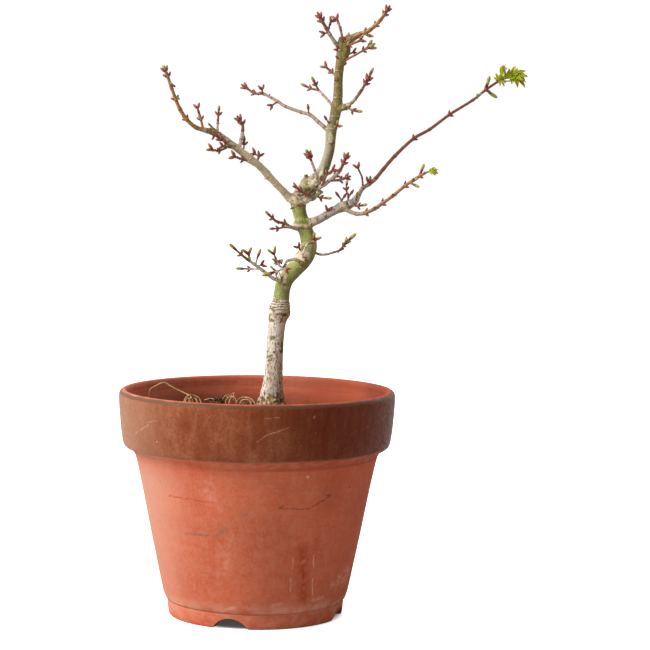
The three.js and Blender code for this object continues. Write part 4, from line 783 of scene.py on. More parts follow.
def stem_line(way, step):
    """Samples on a smooth line through the joints, step millimetres apart."""
    joints = [place(joint) for joint in way]
    last = len(joints) - 1
    line = []
    for i in range(last):
        before, start = joints[max(i - 1, 0)], joints[i]
        end, after = joints[i + 1], joints[min(i + 2, last)]
        reach = (end - start).length / 3
        count = max(2, round((end - start).length / MM / step)) + 1
        handle_out = start + (end - before).normalized() * reach
        handle_in = end - (after - start).normalized() * reach
        curve = interpolate_bezier(start, handle_out, handle_in, end, count)
        line += [(point, i + k / (count - 1)) for k, point in enumerate(curve[:-1])]
    line.append((joints[-1], last))
    return line


def tubes(name, stems, sides=8):
    """One mesh of closed round stems; each stem is a list of (place, radius in metres)."""
    deselect()
    bpy.ops.curve.primitive_nurbs_path_add(location=(0, 0, 0))
    path = bpy.context.object
    path.name = name
    path.data.splines.clear()
    for stem in stems:
        spline = path.data.splines.new("POLY")
        spline.points.add(len(stem) - 1)
        for point, (spot, radius) in zip(spline.points, stem):
            point.co = (*spot, 1)
            point.radius = radius / MM
    path.data.bevel_depth = MM
    path.data.bevel_resolution = (sides - 4) // 2
    path.data.use_fill_caps = True
    pick(path)
    bpy.ops.object.convert(target="MESH")
    return bpy.context.object


def fuse(piece, grain, rounds=2):
    """Grows overlapping stems into one skin."""
    apply_modifier(piece, "REMESH", mode="VOXEL", voxel_size=grain, use_smooth_shade=True)
    apply_modifier(piece, "SMOOTH", factor=0.5, iterations=rounds)


def nearest(points, spots, radii):
    """For each point, the sample whose skin it is nearest to."""
    found = np.empty(len(points), int)
    for start in range(0, len(points), CHUNK):
        part = points[start:start + CHUNK, None, :] - spots[None, :, :]
        found[start:start + CHUNK] = (np.linalg.norm(part, axis=2) / radii[None, :]).argmin(1)
    return found


def draws(seed):
    """Repeatable draws between 0 and 1."""
    state = seed
    while True:
        state = (state * 1664525 + 1013904223) % 4294967296
        yield state / 4294967296


# Shader nodes

def tree_of(*values):
    """The node tree of the first value that is a node's output."""
    return next(value.id_data for value in values if isinstance(value, NodeSocket))


def feed(socket, value):
    """Sets a socket to a number or colour, or links another node's output to it."""
    if isinstance(value, NodeSocket):
        socket.id_data.links.new(value, socket)
    else:
        socket.default_value = value


def node(tree, kind, values=None, **settings):
    """Adds a node; each value is a number, a colour or another node's output."""
    made = tree.nodes.new(kind)
    for key, value in settings.items():
        setattr(made, key, value)
    for key, value in (values or {}).items():
        feed(made.inputs[key], value)
    return made


def blend(share, below, above, how="MIX"):
    """Lays one colour over another."""
    below, above = (skin if isinstance(skin, NodeSocket) else (*skin, 1) for skin in (below, above))
    return node(tree_of(share, below, above), "ShaderNodeMix", {0: share, 6: below, 7: above},
                data_type="RGBA", blend_type=how).outputs[2]


def washes(skin, rows):
    """Lays thin colours over a skin, one after the other: share, mask, colour."""
    for share, mask, tint in rows:
        skin = blend(mask if share == 1 else times(mask, share), skin, tint)
    return skin


def maths(how, first, second=0.0, *third):
    values = dict(enumerate((first, second, *third)))
    return node(tree_of(*values.values()), "ShaderNodeMath", values, operation=how).outputs[0]


def times(first, *others):
    for other in others:
        first = maths("MULTIPLY", first, other)
    return first


def times_plus(first, second, third):
    return maths("MULTIPLY_ADD", first, second, third)


def less(first, second):
    return maths("SUBTRACT", first, second)


def between(value, low, high):
    """0 below low, 1 above high, smooth between them."""
    return node(tree_of(value), "ShaderNodeMapRange", {"Value": value, "From Min": low, "From Max": high},
                interpolation_type="SMOOTHSTEP", clamp=False).outputs[0]


def attribute(tree, name):
    return node(tree, "ShaderNodeAttribute", attribute_name=name).outputs["Fac"]


def noise(where, scale, detail):
    return node(where.id_data, "ShaderNodeTexNoise",
                {"Vector": where, "Scale": scale, "Detail": detail}).outputs["Fac"]


def group(name, inputs, outputs):
    """An empty node group with its sockets, and its input and output nodes."""
    made = bpy.data.node_groups.new(name, "ShaderNodeTree")
    for label, kind, default in inputs:
        socket = made.interface.new_socket(label, in_out="INPUT", socket_type="NodeSocket" + kind)
        socket.default_value = default
    for label in outputs:
        made.interface.new_socket(label, in_out="OUTPUT", socket_type="NodeSocketFloat")
    return made, made.nodes.new("NodeGroupInput").outputs, made.nodes.new("NodeGroupOutput").inputs


def cloud_group():
    """Soft patches: a mask from noise, 0 below Low and 1 above High."""
    name = "Clouds"
    if name not in bpy.data.node_groups:
        _, given, out = group(
            name, [("Vector", "Vector", (0, 0, 0)), ("Scale", "Float", 100.0), ("Detail", "Float", 3.0),
                   ("Low", "Float", 0.4), ("High", "Float", 0.6)], ("Mask", "Value"))
        value = noise(given["Vector"], given["Scale"], given["Detail"])
        feed(out["Mask"], between(value, given["Low"], given["High"]))
        feed(out["Value"], value)
    return bpy.data.node_groups[name]


def clouds(where, scale, low, high, detail=3.0):
    """Soft patches at a place: the mask and the noise that it comes from."""
    values = {"Vector": where, "Scale": scale, "Detail": detail, "Low": low, "High": high}
    return node(where.id_data, "ShaderNodeGroup", values, node_tree=cloud_group()).outputs


def scratch_group():
    """A thin line about a middle, along a direction, that bows a little and fades in patches."""
    name = "Scratch"
    if name not in bpy.data.node_groups:
        wanted = ("X", "Z", "Wander", "Patchy", "Middle X", "Middle Z", "Cosine", "Sine", "Half", "Width",
                  "Bow")
        _, given, out = group(name, [(label, "Float", 0.0) for label in wanted], ("Mask",))
        right = less(given["X"], given["Middle X"])
        rise = less(given["Z"], given["Middle Z"])
        along = times_plus(right, given["Cosine"], times(rise, given["Sine"]))
        aside = less(times(rise, given["Cosine"]), times(right, given["Sine"]))
        past = maths("MAXIMUM", less(maths("ABSOLUTE", along), given["Half"]), 0.0)
        share = maths("DIVIDE", along, given["Half"])
        lift = times(less(1.0, times(share, share)), given["Bow"])
        gap = less(aside, times_plus(less(given["Wander"], 0.5), SCRATCH_STRAY, lift))
        square = times_plus(gap, gap, times(past, past))
        distance = maths("DIVIDE", maths("SQRT", square), given["Width"])
        feed(out["Mask"], times(maths("MAXIMUM", less(1.0, distance), 0.0), given["Patchy"]))
    return bpy.data.node_groups[name]


def new_material(name):
    """A material with its tree, its shader, and object coordinates centred on the pot."""
    made = bpy.data.materials.new(name)
    made.use_nodes = True
    tree = made.node_tree
    tree.nodes.clear()
    shader = tree.nodes.new("ShaderNodeBsdfPrincipled")
    node(tree, "ShaderNodeOutputMaterial", {"Surface": shader.outputs[0]})
    where = node(tree, "ShaderNodeTexCoord").outputs["Object"]
    centred = node(tree, "ShaderNodeMapping", {"Vector": where, "Location": (-AXIS.x, -AXIS.y, 0)})
    return made, tree, shader, centred.outputs[0]


def stretched(where, scale):
    return node(where.id_data, "ShaderNodeMapping", {"Vector": where, "Scale": scale}).outputs[0]


def surface(shader, skin, rough, relief, depth, strength=1.0, gloss=0.5):
    """Feeds a material's shader with its colour, roughness, relief and gloss."""
    raised = node(shader.id_data, "ShaderNodeBump",
                  {"Height": relief, "Distance": depth, "Strength": strength})
    for name, value in (("Base Color", skin), ("Roughness", rough), ("Normal", raised.outputs[0]),
                        ("Specular IOR Level", gloss)):
        feed(shader.inputs[name], value)


def darker(tint, share):
    return tuple(channel * share for channel in tint)


def on_wall(across, up):
    """Where a mark that shows at this place lies on the pot's wall rolled out flat, in metres."""
    eye = EYE - AXIS
    sight = Vector((across, 0, up)) * MM - eye
    radii, levels = zip(*POT_WALL)
    share = 1.0
    for _ in range(WALL_STEPS):
        spot = eye + sight * share
        inside = np.interp(spot.z / MM, levels, radii) * MM - math.hypot(spot.x, spot.y)
        share -= 0.5 * inside / sight.length
    spot = eye + sight * share
    return Vector((math.atan2(spot.x, -spot.y) * ROLLED_RADIUS, 0, spot.z))


def clay_material(look):
    """Unglazed clay with a thin brown glaze on the band, lime bloom, drips and scratches."""
    made, tree, shader, where = new_material("fired_clay")
    across, behind, level = node(tree, "ShaderNodeSeparateXYZ", {"Vector": where}).outputs
    outside = attribute(tree, "outside")
    unrolled = times(maths("ARCTAN2", across, times(behind, -1.0)), ROLLED_RADIUS)
    wander = noise(where, 260.0, 2.0)
    fading = between(noise(where, 420.0, 2.0), 0.26, 0.56)

    def patches(scale, low, high, detail=3.0, vector=where):
        return clouds(vector, scale, low, high, detail)["Mask"]

    def rise(low, high, value=level):
        return between(value, low * MM, high * MM)

    def marks(rows):
        mask = 0.0
        for start, end, width, bow, strength in rows:
            first, last = on_wall(*start), on_wall(*end)
            middle = (first + last) / 2
            ahead = (last - first).normalized() if start != end else Vector((1, 0, 0))
            line = node(tree, "ShaderNodeGroup", {
                "X": unrolled, "Z": level, "Wander": wander, "Patchy": fading, "Middle X": middle.x,
                "Middle Z": middle.z, "Cosine": ahead.x, "Sine": ahead.z,
                "Half": (last - first).length / 2, "Width": width * MM, "Bow": bow * MM / 4,
            }, node_tree=scratch_group()).outputs["Mask"]
            mask = maths("MAXIMUM", times(line, strength), mask)
        return times(mask, outside)

    broad = patches(30.0, 0.36, 0.68, 4.0)
    mottle = patches(210.0, 0.35, 0.7, 4.0)
    grit = patches(1500.0, 0.3, 0.75, 2.0)
    run = patches(300.0, 0.46, 0.7, 3.0, stretched(where, (1, 1, 0.12)))
    lathe = patches(620.0, 0.35, 0.65, 3.0, stretched(where, (0.05, 0.05, 1)))
    inside = less(1.0, outside)
    edge = times(rise(3.6, 1.2), rise(4, -34, across))
    lined = times(times(rise(16, 10), rise(7, 9)), patches(120.0, 0.3, 0.6, 4.0))
    body = washes(look.clay, [
        (0.3, broad, look.stain_and_shade),
        (0.12, mottle, look.bloom),
        (0.12, patches(700.0, 0.4, 0.7, 4.0), look.bloom),
        (0.05, run, look.bloom),
        (0.14, grit, look.stain_and_shade),
        (0.05, lathe, look.stain_and_shade),
        # Darker towards the right: partly damp stain, partly painted shade on the side away from the key
        # light
        (0.42, times(rise(4, 60, across), outside), look.stain_and_shade),
        # Paler towards the left: partly lime bloom, partly a painted sheen on the side towards the key light
        (0.5, times(rise(-26, -64, across), outside), srgb(188, 156, 136)),
        (0.36, times(rise(76, 88), broad, outside), srgb(186, 68, 42)),
        (1, marks(STAIN_MARKS), srgb(142, 54, 26)),
        (1, times(marks(BLOOM_MARKS), patches(260.0, 0.34, 0.66, 5.0)), srgb(212, 160, 140)),
        # Painted shade: the inside of the wall darkens below the lip, down towards the soil
        (0.8, times(less(1.0, rise(104, 120)), inside), srgb(96, 38, 24)),
        (0.34, times(inside, lathe), look.stain_and_shade),
        (0.3, times(inside, broad), srgb(176, 118, 104)),
        (0.6, times(inside, rise(8, 40, across)), look.stain_and_shade),
        (0.24, times(less(1.0, rise(6.6, 8.6)), mottle), srgb(200, 138, 120)),
        (0.42, edge, srgb(196, 82, 44)),
        # Painted light: pale blue-grey on the hollow under the pot's floor, for the bounce light seen
        # through the notches
        (0.9, times(rise(8, 7), inside), srgb(150, 176, 182)),
        (0.42, lined, look.bloom),
        # A painted shadow line under the band, and a pale strip on the low roll where the clay meets the
        # glaze: partly dust, partly painted light that lifts the shade under the band
        (0.5, times(rise(86.4, 88), outside, rise(-40, 20, across)), srgb(120, 48, 30)),
        (0.26, times(rise(88.4, 89), outside, mottle), srgb(198, 122, 90)),
    ])

    drip = patches(300.0, 0.42, 0.7, 4.0, stretched(where, (1, 1, 0.22)))
    blotch = patches(520.0, 0.4, 0.64, 5.0)
    wavy = times_plus(patches(90.0, 0.2, 0.8), 0.5 * MM, level)
    foot, top = look.band_foot, look.band_top
    glazed = times(between(wavy, foot, foot + 0.6 * MM), less(1.0, between(wavy, top, top + 0.9 * MM)),
                   outside)
    glaze = washes(look.glaze, [
        (0.42, patches(60.0, 0.38, 0.68, 4.0), look.glaze_thin),
        (0.42, blotch, srgb(98, 44, 22)),
        (0.17, drip, srgb(168, 116, 88)),
        (0.42, patches(1100.0, 0.46, 0.72, 3.0), srgb(80, 40, 26)),
        # Painted shade: the glaze darkens towards the right, away from the key light
        (0.86, rise(-6, 44, across), srgb(84, 28, 4)),
        (0.05, times(drip, rise(0, 50, across)), srgb(150, 110, 80)),
        # Painted sheen: the glaze pales towards the left, on the side towards the key light
        (0.6, rise(-34, -70, across), srgb(152, 110, 84)),
        (0.3, times(between(grit, 0.8, 1.0), mottle), srgb(184, 140, 116)),
        (0.75, between(wavy, top - 1.9 * MM, top - 1.0 * MM), srgb(90, 62, 46)),
        (0.4, between(wavy, foot + 1.5 * MM, foot + 0.6 * MM), srgb(126, 96, 72)),
    ])

    dark = marks(DARK_MARKS)
    pores = patches(760.0, 0.7, 0.78, 2.0)
    skin = washes(blend(glazed, body, glaze), [
        (1, marks(RED_MARKS), srgb(172, 52, 34)),
        (1, marks(GREY_MARKS), srgb(118, 88, 86)),
        (1, dark, srgb(62, 44, 42)),
        (0.8, marks(PALE_MARKS), srgb(208, 168, 148)),
        (0.5, pores, srgb(72, 34, 24)),
    ])
    dull = times_plus(mottle, 0.1, 0.76)
    satin = times_plus(blotch, 0.16, 0.34)
    rough = node(tree, "ShaderNodeMix", {0: glazed, 2: dull, 3: satin}).outputs[0]
    relief = times_plus(lathe, 0.5, grit)
    for mask, height in ((pores, -1.4), (dark, -1.2), (blotch, 0.4)):
        relief = times_plus(mask, height, relief)
    surface(shader, skin, rough, relief, 0.09 * MM, 0.5, gloss=0.07)
    return made


def stroked_material(name, base, cloudy, speck, scale, rough, height):
    """A matt finish of one colour with clouds of a second and specks of a third."""
    made, _, shader, where = new_material(name)
    large = clouds(where, scale * 0.3, 0.38, 0.62)
    small = clouds(where, scale, 0.52, 0.7, 4.0)
    skin = washes(base, [(0.75, large["Mask"], cloudy), (0.7, small["Mask"], speck)])
    surface(shader, skin, times_plus(small["Mask"], 0.12, rough), small["Value"], height)
    return made


def bark_material(look):
    """Smooth green bark, tan, grey and olive stretches, and dry cork with dark cracks."""
    made, tree, shader, where = new_material("maple_bark")
    grain = stretched(where, (1, 1, 0.34))
    edge = clouds(where, 620.0, 0.4, 0.6, 5.0)["Value"]
    soft = clouds(grain, 170.0, 0.36, 0.64, 4.0)["Mask"]
    speckle = clouds(grain, 1300.0, 0.54, 0.7)["Mask"]
    dots = clouds(where, 1500.0, 0.56, 0.68, 2.0)["Mask"]
    fine = clouds(grain, 1700.0, 0.5, 0.7)["Value"]
    fleck = between(times_plus(attribute(tree, "flecked"), 0.09, fine), 0.61, 0.66)
    level = node(tree, "ShaderNodeSeparateXYZ", {"Vector": where}).outputs[2]
    wander = clouds(stretched(where, (1, 1, 0.5)), 260.0, 0.3, 0.7)["Value"]
    ripple = maths("SINE", times_plus(level, 2 * math.pi / RING_SPACING, times(wander, 13.0)))
    ringed = attribute(tree, "ringed")

    def tone(name, softness=0.8):
        """Where a tone shows, with a ragged edge."""
        ragged = times_plus(less(edge, 0.5), softness, 1.0)
        return between(times(ragged, attribute(tree, name)), 0.4, 0.6)

    def patchy(tint, share):
        return blend(soft, tint, darker(tint, share))

    cork = blend(soft, look.cork, srgb(190, 168, 146))
    cork = blend(times(dots, 0.3), cork, srgb(168, 142, 108))
    skin = washes(patchy(look.green, 0.78), [
        (0.4, dots, srgb(188, 188, 138)),
        (1, tone("olive"), patchy(look.olive, 0.7)),
        (1, tone("tan"), patchy(look.tan, 0.84)),
        # Pale wash on the upper trunk: partly the bark's own pale tone, partly painted light where the bark
        # faces the key light
        (1, attribute(tree, "dry"), srgb(170, 160, 144)),
        (1, attribute(tree, "rusty"), srgb(124, 94, 72)),
        (0.8, tone("grey_green", 5.0), srgb(138, 146, 104)),
        (1, tone("grey"), patchy(look.grey, 0.86)),
        (0.22, speckle, srgb(214, 202, 178)),
        (0.9, tone("pale", 4.0), blend(soft, srgb(204, 188, 166), srgb(178, 156, 124))),
        (1, tone("cork"), blend(times(fleck, 0.9), cork, look.flecks)),
        (0.8, times(between(ripple, 0.1, -0.7), ringed), srgb(112, 98, 54)),
        (0.8, times(between(ripple, 0.35, 0.8), ringed), srgb(222, 212, 196)),
        # Brown at the root collar, and painted shade where the swelling under the rings faces right
        (1, attribute(tree, "earthy_and_shade"), srgb(156, 128, 76)),
        (0.85, tone("mossy", 6.0), look.moss),
        (0.85, tone("lichen", 5.0), srgb(140, 146, 52)),
        (0.8, tone("red", 5.5), srgb(118, 64, 40)),
        # Dark patches: dark bark and algae, and painted shade in crevices and holes
        (0.85, tone("dark", 6.0), srgb(66, 54, 28)),
        # Painted shade: darker green where the green trunk faces right and down
        (1, attribute(tree, "green_shade"), srgb(94, 104, 28)),
    ])
    # Painted shade: the skin is darkened where the trunk faces right and under the limbs, and the creases
    # darken further with painted shade
    painted_shade = blend(1.0, skin, srgb(208, 178, 136), "MULTIPLY")
    skin = washes(skin, [(1, attribute(tree, "shade"), painted_shade),
                         (1, attribute(tree, "crease"), srgb(70, 54, 34))])
    relief = times_plus(times(ripple, ringed), 1.2, times_plus(fleck, -1.2, edge))
    rough = times_plus(attribute(tree, "cork"), 0.3, 0.56)
    surface(shader, skin, rough, relief, 0.14 * MM, 0.7, gloss=0.25)
    return made


def twig_material(look):
    """Young bark, red where it grew last year and grey-beige where it is older."""
    made, tree, shader, where = new_material("young_bark")
    patch = clouds(where, 380.0, 0.38, 0.64)
    small = clouds(where, 1300.0, 0.42, 0.66)["Mask"]
    dot = clouds(where, 1800.0, 0.64, 0.72, 1.0)["Mask"]
    amber = attribute(tree, "amber")
    plain = times_plus(amber, -0.7, 1.0)
    age = times_plus(less(patch["Value"], 0.5), 0.9, attribute(tree, "age"))
    old = blend(attribute(tree, "lilac"), look.old, look.lilac)
    old = blend(times(patch["Mask"], 0.28), old, srgb(128, 106, 78))
    young = washes(look.young, [
        (1, amber, look.amber),
        (0.4, times(patch["Mask"], plain), srgb(112, 44, 34)),
        (0.3, times(small, plain), srgb(168, 96, 84)),
    ])
    skin = washes(young, [
        (1, between(age, 0.3, 0.7), old),
        (0.2, small, srgb(92, 52, 40)),
        (1, attribute(tree, "leafy"), look.tip),
        (0.5, dot, srgb(196, 166, 140)),
        (1, attribute(tree, "scar"), srgb(84, 44, 36)),
    ])
    rough = times_plus(attribute(tree, "age"), 0.24, 0.42)
    surface(shader, skin, rough, patch["Value"], 0.1 * MM, 0.6, gloss=0.35)
    return made


def bud_material(look):
    """Overlapping red scales with paler edges, and green leaf tips that push out of them."""
    made, tree, shader, where = new_material("bud_scales")
    patch = clouds(where, 800.0, 0.35, 0.65)
    scales = blend(patch["Mask"], look.bud, darker(look.bud, 0.6))
    scales = blend(attribute(tree, "edge"), scales, look.bud_edge)
    reach = times_plus(patch["Value"], 0.16, attribute(tree, "reach"))
    opened = between(times_plus(attribute(tree, "leafy"), 0.78, reach), 0.98, 1.2)
    tips = blend(patch["Mask"], look.tip, srgb(160, 142, 76))
    rough = times_plus(patch["Mask"], 0.12, 0.4)
    surface(shader, blend(opened, scales, tips), rough, patch["Value"], 0.06 * MM, gloss=0.35)
    return made


def leaf_material(look):
    """Young leaf: pale veins, a warm tinge at the teeth and a soft gloss."""
    made, tree, shader, where = new_material("young_leaf")
    patch = clouds(where, 420.0, 0.35, 0.68)
    warm = between(times_plus(patch["Value"], 0.3, attribute(tree, "reach")), 0.86, 1.16)
    skin = washes(look.leaf, [
        (0.5, patch["Mask"], srgb(116, 136, 6)),
        (0.4, attribute(tree, "vein"), srgb(176, 186, 56)),
        (0.7, warm, look.leaf_edge),
    ])
    surface(shader, skin, times_plus(patch["Mask"], 0.14, 0.46), patch["Value"], 0.1 * MM, gloss=0.25)
    shader.inputs["Subsurface Weight"].default_value = 0.3
    shader.inputs["Subsurface Scale"].default_value = 1.5 * MM
    return made


def crumb_material(look):
    """Damp crumbs, and drier and paler ones among them."""
    made, tree, shader, where = new_material("crumbs")
    patch = clouds(where, 600.0, 0.4, 0.65)
    skin = washes(look.soil, [(1, attribute(tree, "dryness"), look.soil_pale),
                              (0.5, patch["Mask"], darker(look.soil, DAMP_SHARE))])
    surface(shader, skin, 0.9, patch["Value"], 0.3 * MM)
    return made


# Pot

def notch_cutter(turn):
    """A round bar that lies along a radius and cuts a low arch through the foot ring."""
    radius = ((NOTCH_WIDTH / 2) ** 2 + NOTCH_HEIGHT ** 2) / (2 * NOTCH_HEIGHT)
    ahead = Vector((math.cos(turn), math.sin(turn), 0))
    deselect()
    bpy.ops.mesh.primitive_cylinder_add(
        vertices=72, radius=radius * MM, depth=17 * MM, end_fill_type="NGON",
        location=AXIS + ahead * (FOOT_RADIUS - 4) * MM + Vector((0, 0, NOTCH_HEIGHT - radius)) * MM,
        rotation=(0, math.pi / 2, turn))
    cutter = bpy.context.object
    settle(cutter)
    return cutter


def build_pot(look):
    """The pot's section grown from a circle at the drain hole and closed on itself, then notched."""
    pot = turned("clay_pot", POT_SECTION, POT_SIDES, fill="NOTHING")
    bpy.ops.mesh.select_all(action="DESELECT")
    bpy.ops.mesh.select_non_manifold(extend=False, use_wire=False, use_boundary=True,
                                     use_multi_face=False, use_non_contiguous=False, use_verts=False)
    bpy.ops.mesh.bridge_edge_loops(number_cuts=3)
    face_outwards()
    rows = points_of(pot)
    flat = rows - np.array(AXIS)
    away = np.hypot(flat[:, 0], flat[:, 1])
    angle = np.arctan2(flat[:, 1], flat[:, 0])
    swing = np.sin(angle * 2 + 0.7) * 0.5 + np.sin(angle * 3 + flat[:, 2] * 30) * 0.3
    ripple = waves(np.stack([np.cos(angle) * 0.06, np.sin(angle) * 0.06, flat[:, 2]], axis=1), 0.16)
    upper = smooth_step(8 * MM, 40 * MM, flat[:, 2])
    inward = -np.abs(swing * 0.5 + ripple * 0.5) * look.wobble * upper
    factor = 1 + inward / np.maximum(away, 10 * MM)
    rows[:, 0] = AXIS.x + flat[:, 0] * factor
    rows[:, 1] = AXIS.y + flat[:, 1] * factor
    move_points(pot, rows)
    cutter = joined([notch_cutter(NOTCH_TURN + turn * math.pi / 2) for turn in range(4)])
    apply_modifier(pot, "BOOLEAN", operation="DIFFERENCE", object=cutter, solver="EXACT")
    bpy.data.objects.remove(cutter)
    # The materials need to know which points lie on the outside
    flat = points_of(pot) - np.array(AXIS)
    away = np.hypot(flat[:, 0], flat[:, 1]) / MM
    limits, levels = np.array(sorted(OUTSIDE_WALL, key=lambda row: row[1])).T
    limit = np.interp(flat[:, 2] / MM, levels, limits)
    mark(pot, outside=smooth_step(-1.6, -0.9, away - limit))
    pick(pot)
    bpy.ops.object.shade_smooth_by_angle(angle=math.radians(50))
    hand_over(pot, clay_material(look), "clay", "pot")


# Wood

def wood_stem(way):
    """Samples along a way with their radii in metres, eased from joint to joint."""
    line = stem_line(way, 1.2)
    radii = np.array([joint[3] for joint in way], float)
    at = np.array([position for _, position in line])
    low = np.clip(at.astype(int), 0, len(radii) - 2)
    share = at - low
    share = share * share * (3 - 2 * share) * 0.5 + share * 0.5
    eased = (radii[low] * (1 - share) + radii[low + 1] * share) * MM
    return list(zip([spot for spot, _ in line], eased))


def surface_root(degrees, length, radius):
    foot = place((TRUNK[3][0], 0, 0))
    ahead = Vector((math.cos(math.radians(degrees)), math.sin(math.radians(degrees)), 0))
    rise = ROOT_START_LEVEL - ROOT_END_LEVEL
    stem = []
    for reach, up, share in ((0.2, rise, 1), (0.5, rise * 0.66, 1), (0.75, rise * 0.4, 0.8), (1, 0, 0.5)):
        spot = Vector((foot.x, foot.y, 0)) + ahead * reach * length * MM
        spot.z = (ROOT_END_LEVEL + up) * MM
        stem.append((spot, radius * share * MM))
    return stem


def wood_tones(levels, across, trunk, left, right):
    """Base tones by level on the trunk and by distance out on the limbs."""
    knot = smooth_step(221.4, 223.4, levels) * (1 - smooth_step(238, 242, levels))
    upper = smooth_step(236, 239, levels)
    far = smooth_step(-8, -26, across)
    tones = {name: np.zeros(len(levels)) for name in ("mossy", "lichen", "dark", "grey_green")}
    tones["cork"] = trunk * (1 - smooth_step(171.8, 172.8, levels))
    tones["ringed"] = trunk * smooth_step(165.6, 167, levels) * smooth_step(172.8, 171.8, levels)
    tones["pale"] = trunk * knot * 0.52 + right * smooth_step(32, 29, across) * 0.8
    tones["olive"] = trunk * upper + left * far * 0.56
    tones["tan"] = left * (0.95 - far * 0.5)
    tones["dry"] = trunk * smooth_step(236, 242, levels) * (1 - smooth_step(252, 278, levels)) * 0.62
    tones["grey"] = right * 0.95
    tones["red"] = left * (far * 0.52 + smooth_step(6, -10, across) * 0.1) + trunk * upper * 0.12
    tones["flecked"] = np.clip(smooth_step(160, 128, levels) * 0.75, 0, 1)
    return tones


def build_wood(look):
    ways = [wood_stem(way) for way in (TRUNK, LEFT_LIMB, RIGHT_LIMB)]
    stubs = [wood_stem(way) for way in STUBS]
    roots = [surface_root(*row) for row in ROOTS]
    folds = [wood_stem(way) for way in FOLDS]
    wood = tubes("trunk_and_limbs", ways + stubs + roots + folds, sides=16)
    wood = joined([wood, *(ball(3, lump[3] * MM, place(lump)) for lump in LUMPS)])
    settle(wood)
    fuse(wood, look.wood_grain, rounds=3)

    points = points_of(wood)
    normals = normals_of(wood)
    aside, depth, upward = normals.T
    spots = np.array([spot for stem in ways for spot, _ in stem])
    radii = np.array([radius for stem in ways for _, radius in stem])
    near = nearest(points, spots, radii)
    limb = np.array([limb for limb, stem in enumerate(ways) for _ in stem])[near]
    trunk, left, right = (limb == number for number in range(3))
    # Where each point shows on the upright plane through the pot's axis
    eye = np.array(EYE)
    sight = points - eye
    shown = eye + sight * (-eye[1] / sight[:, 1])[:, None]
    across = (shown[:, 0] - AXIS.x) / MM
    levels = shown[:, 2] / MM
    tones = wood_tones(levels, (spots[near, 0] - AXIS.x) / MM, trunk, left, right)
    front = smooth_step(0.3, -0.1, depth)
    for tone, patches in BARK_SPOTS.items():
        for spot_across, spot_up, wide, tall, strength in patches:
            gap = np.hypot((across - spot_across) / wide, (levels - spot_up) / tall)
            tones[tone] = np.maximum(tones[tone], strength * smooth_step(1.7, 0.2, gap) * 1.1 * front)
    under = smooth_step(0.1, -0.8, upward)
    thin = 0.9 - smooth_step(236, 244, levels) * 0.35
    tones["rusty"] = trunk * smooth_step(264, 276, levels) * smooth_step(0.1, -0.8, aside) * 0.45
    # Painted shade: darker where the trunk faces right and on the underside of the limbs, by which way the
    # skin faces
    tones["shade"] = np.where(trunk, smooth_step(0.25, 0.95, aside) * thin, under * (0.9 - left * 0.5))
    tones["tan"] = tones["tan"] - left * under * 0.4
    # Painted shade on the green trunk: darker green where it faces right and down
    green = trunk * smooth_step(173, 175, levels) * smooth_step(222, 219, levels)
    tones["green_shade"] = green * smooth_step(-0.1, 0.9, aside * 0.9 - upward * 0.6) * 0.5
    # The pale wash fades where the bark faces right, so it is partly painted light on the side towards the
    # key light
    tones["dry"] *= smooth_step(0.75, -0.35, aside)
    # The root collar: brown and mossy patches, with painted shade in the holes between the roots
    ragged = waves(points, (0.5, 0.5, 0.3), 5.0)
    collar = smooth_step(122.4, 118.6, levels + ragged * 4) * trunk
    tones["earthy_and_shade"] = collar * smooth_step(-0.35, 0.35, waves(points, (0.5, 0.5, 0.4), 41.0)) * 0.8
    tones["red"] = np.maximum(tones["red"], collar * (0.42 + ragged * 0.4))
    # More dark cracks where the bark faces right: partly the cork's own cracks, partly painted shade on the
    # side away from the key light
    tones["flecked"] = np.clip(tones["flecked"] + smooth_step(0.1, 0.8, aside) * 0.12, 0, 1)

    # Relief: cracks in the cork, lumps on the knot, with painted shade in the cracks, the knot's hollows and
    # the grooves beside the rings
    lift = waves(points, (0.3, 0.3, 0.16)) * 0.14 + waves(points, (1.1, 1.1, 0.5), 17.0) * 0.05
    cork = smooth_step(0.3, 0.7, tones["cork"])
    split = smooth_step(0.22, 0.42, waves(points, (1.7, 1.7, 0.5), 7.0)) * cork
    lift += cork * (waves(points, (0.9, 0.9, 0.36), 3.0) * 0.13 - split * 0.14)
    crease = split * 0.35 + collar * smooth_step(-0.12, -0.4, waves(points, (0.7, 0.7, 0.5), 31.0)) * 0.7
    knotty = smooth_step(221, 226, levels) * (1 - smooth_step(238, 244, levels)) * trunk
    lumpy = waves(points, 0.62, 11.0)
    lift += knotty * lumpy * 0.46
    crease += knotty * smooth_step(-0.06, -0.4, lumpy) * 0.62
    turn = waves(points, 0.42, 23.0)
    for level, height, half, waviness in RING_SCARS:
        rise = (levels - level + turn * waviness - depth * half * 0.5) / half
        ring = np.exp(-rise ** 2) * trunk
        gap = np.exp(-((rise - 1.75) / 0.6) ** 2) + np.exp(-((rise + 1.75) / 0.6) ** 2)
        lift += ring * height - gap * trunk * height * 0.3
        crease += gap * trunk * min(height, 0.3) * 1.2
        tones["pale"] = np.maximum(tones["pale"], ring * min(1, 0.45 + height * 1.4))
    # Scars round the limbs, one at each joint, with painted shade in the grooves beside each scar
    for own, way in ((left, LEFT_LIMB), (right, RIGHT_LIMB)):
        ahead = np.array((place(way[-1]) - place(way[0])).normalized())
        for joint in way[2:-1]:
            away = points - np.array(place(joint))
            along = away @ ahead / MM
            here = own * (np.linalg.norm(away, axis=1) / MM < joint[3] + 1.6)
            ring = np.exp(-(along / 0.4) ** 2) * here
            lift += ring * 0.2
            tones["pale"] = np.maximum(tones["pale"], ring * 0.7)
            crease += np.exp(-((np.abs(along) - 0.75) / 0.25) ** 2) * here * 0.35
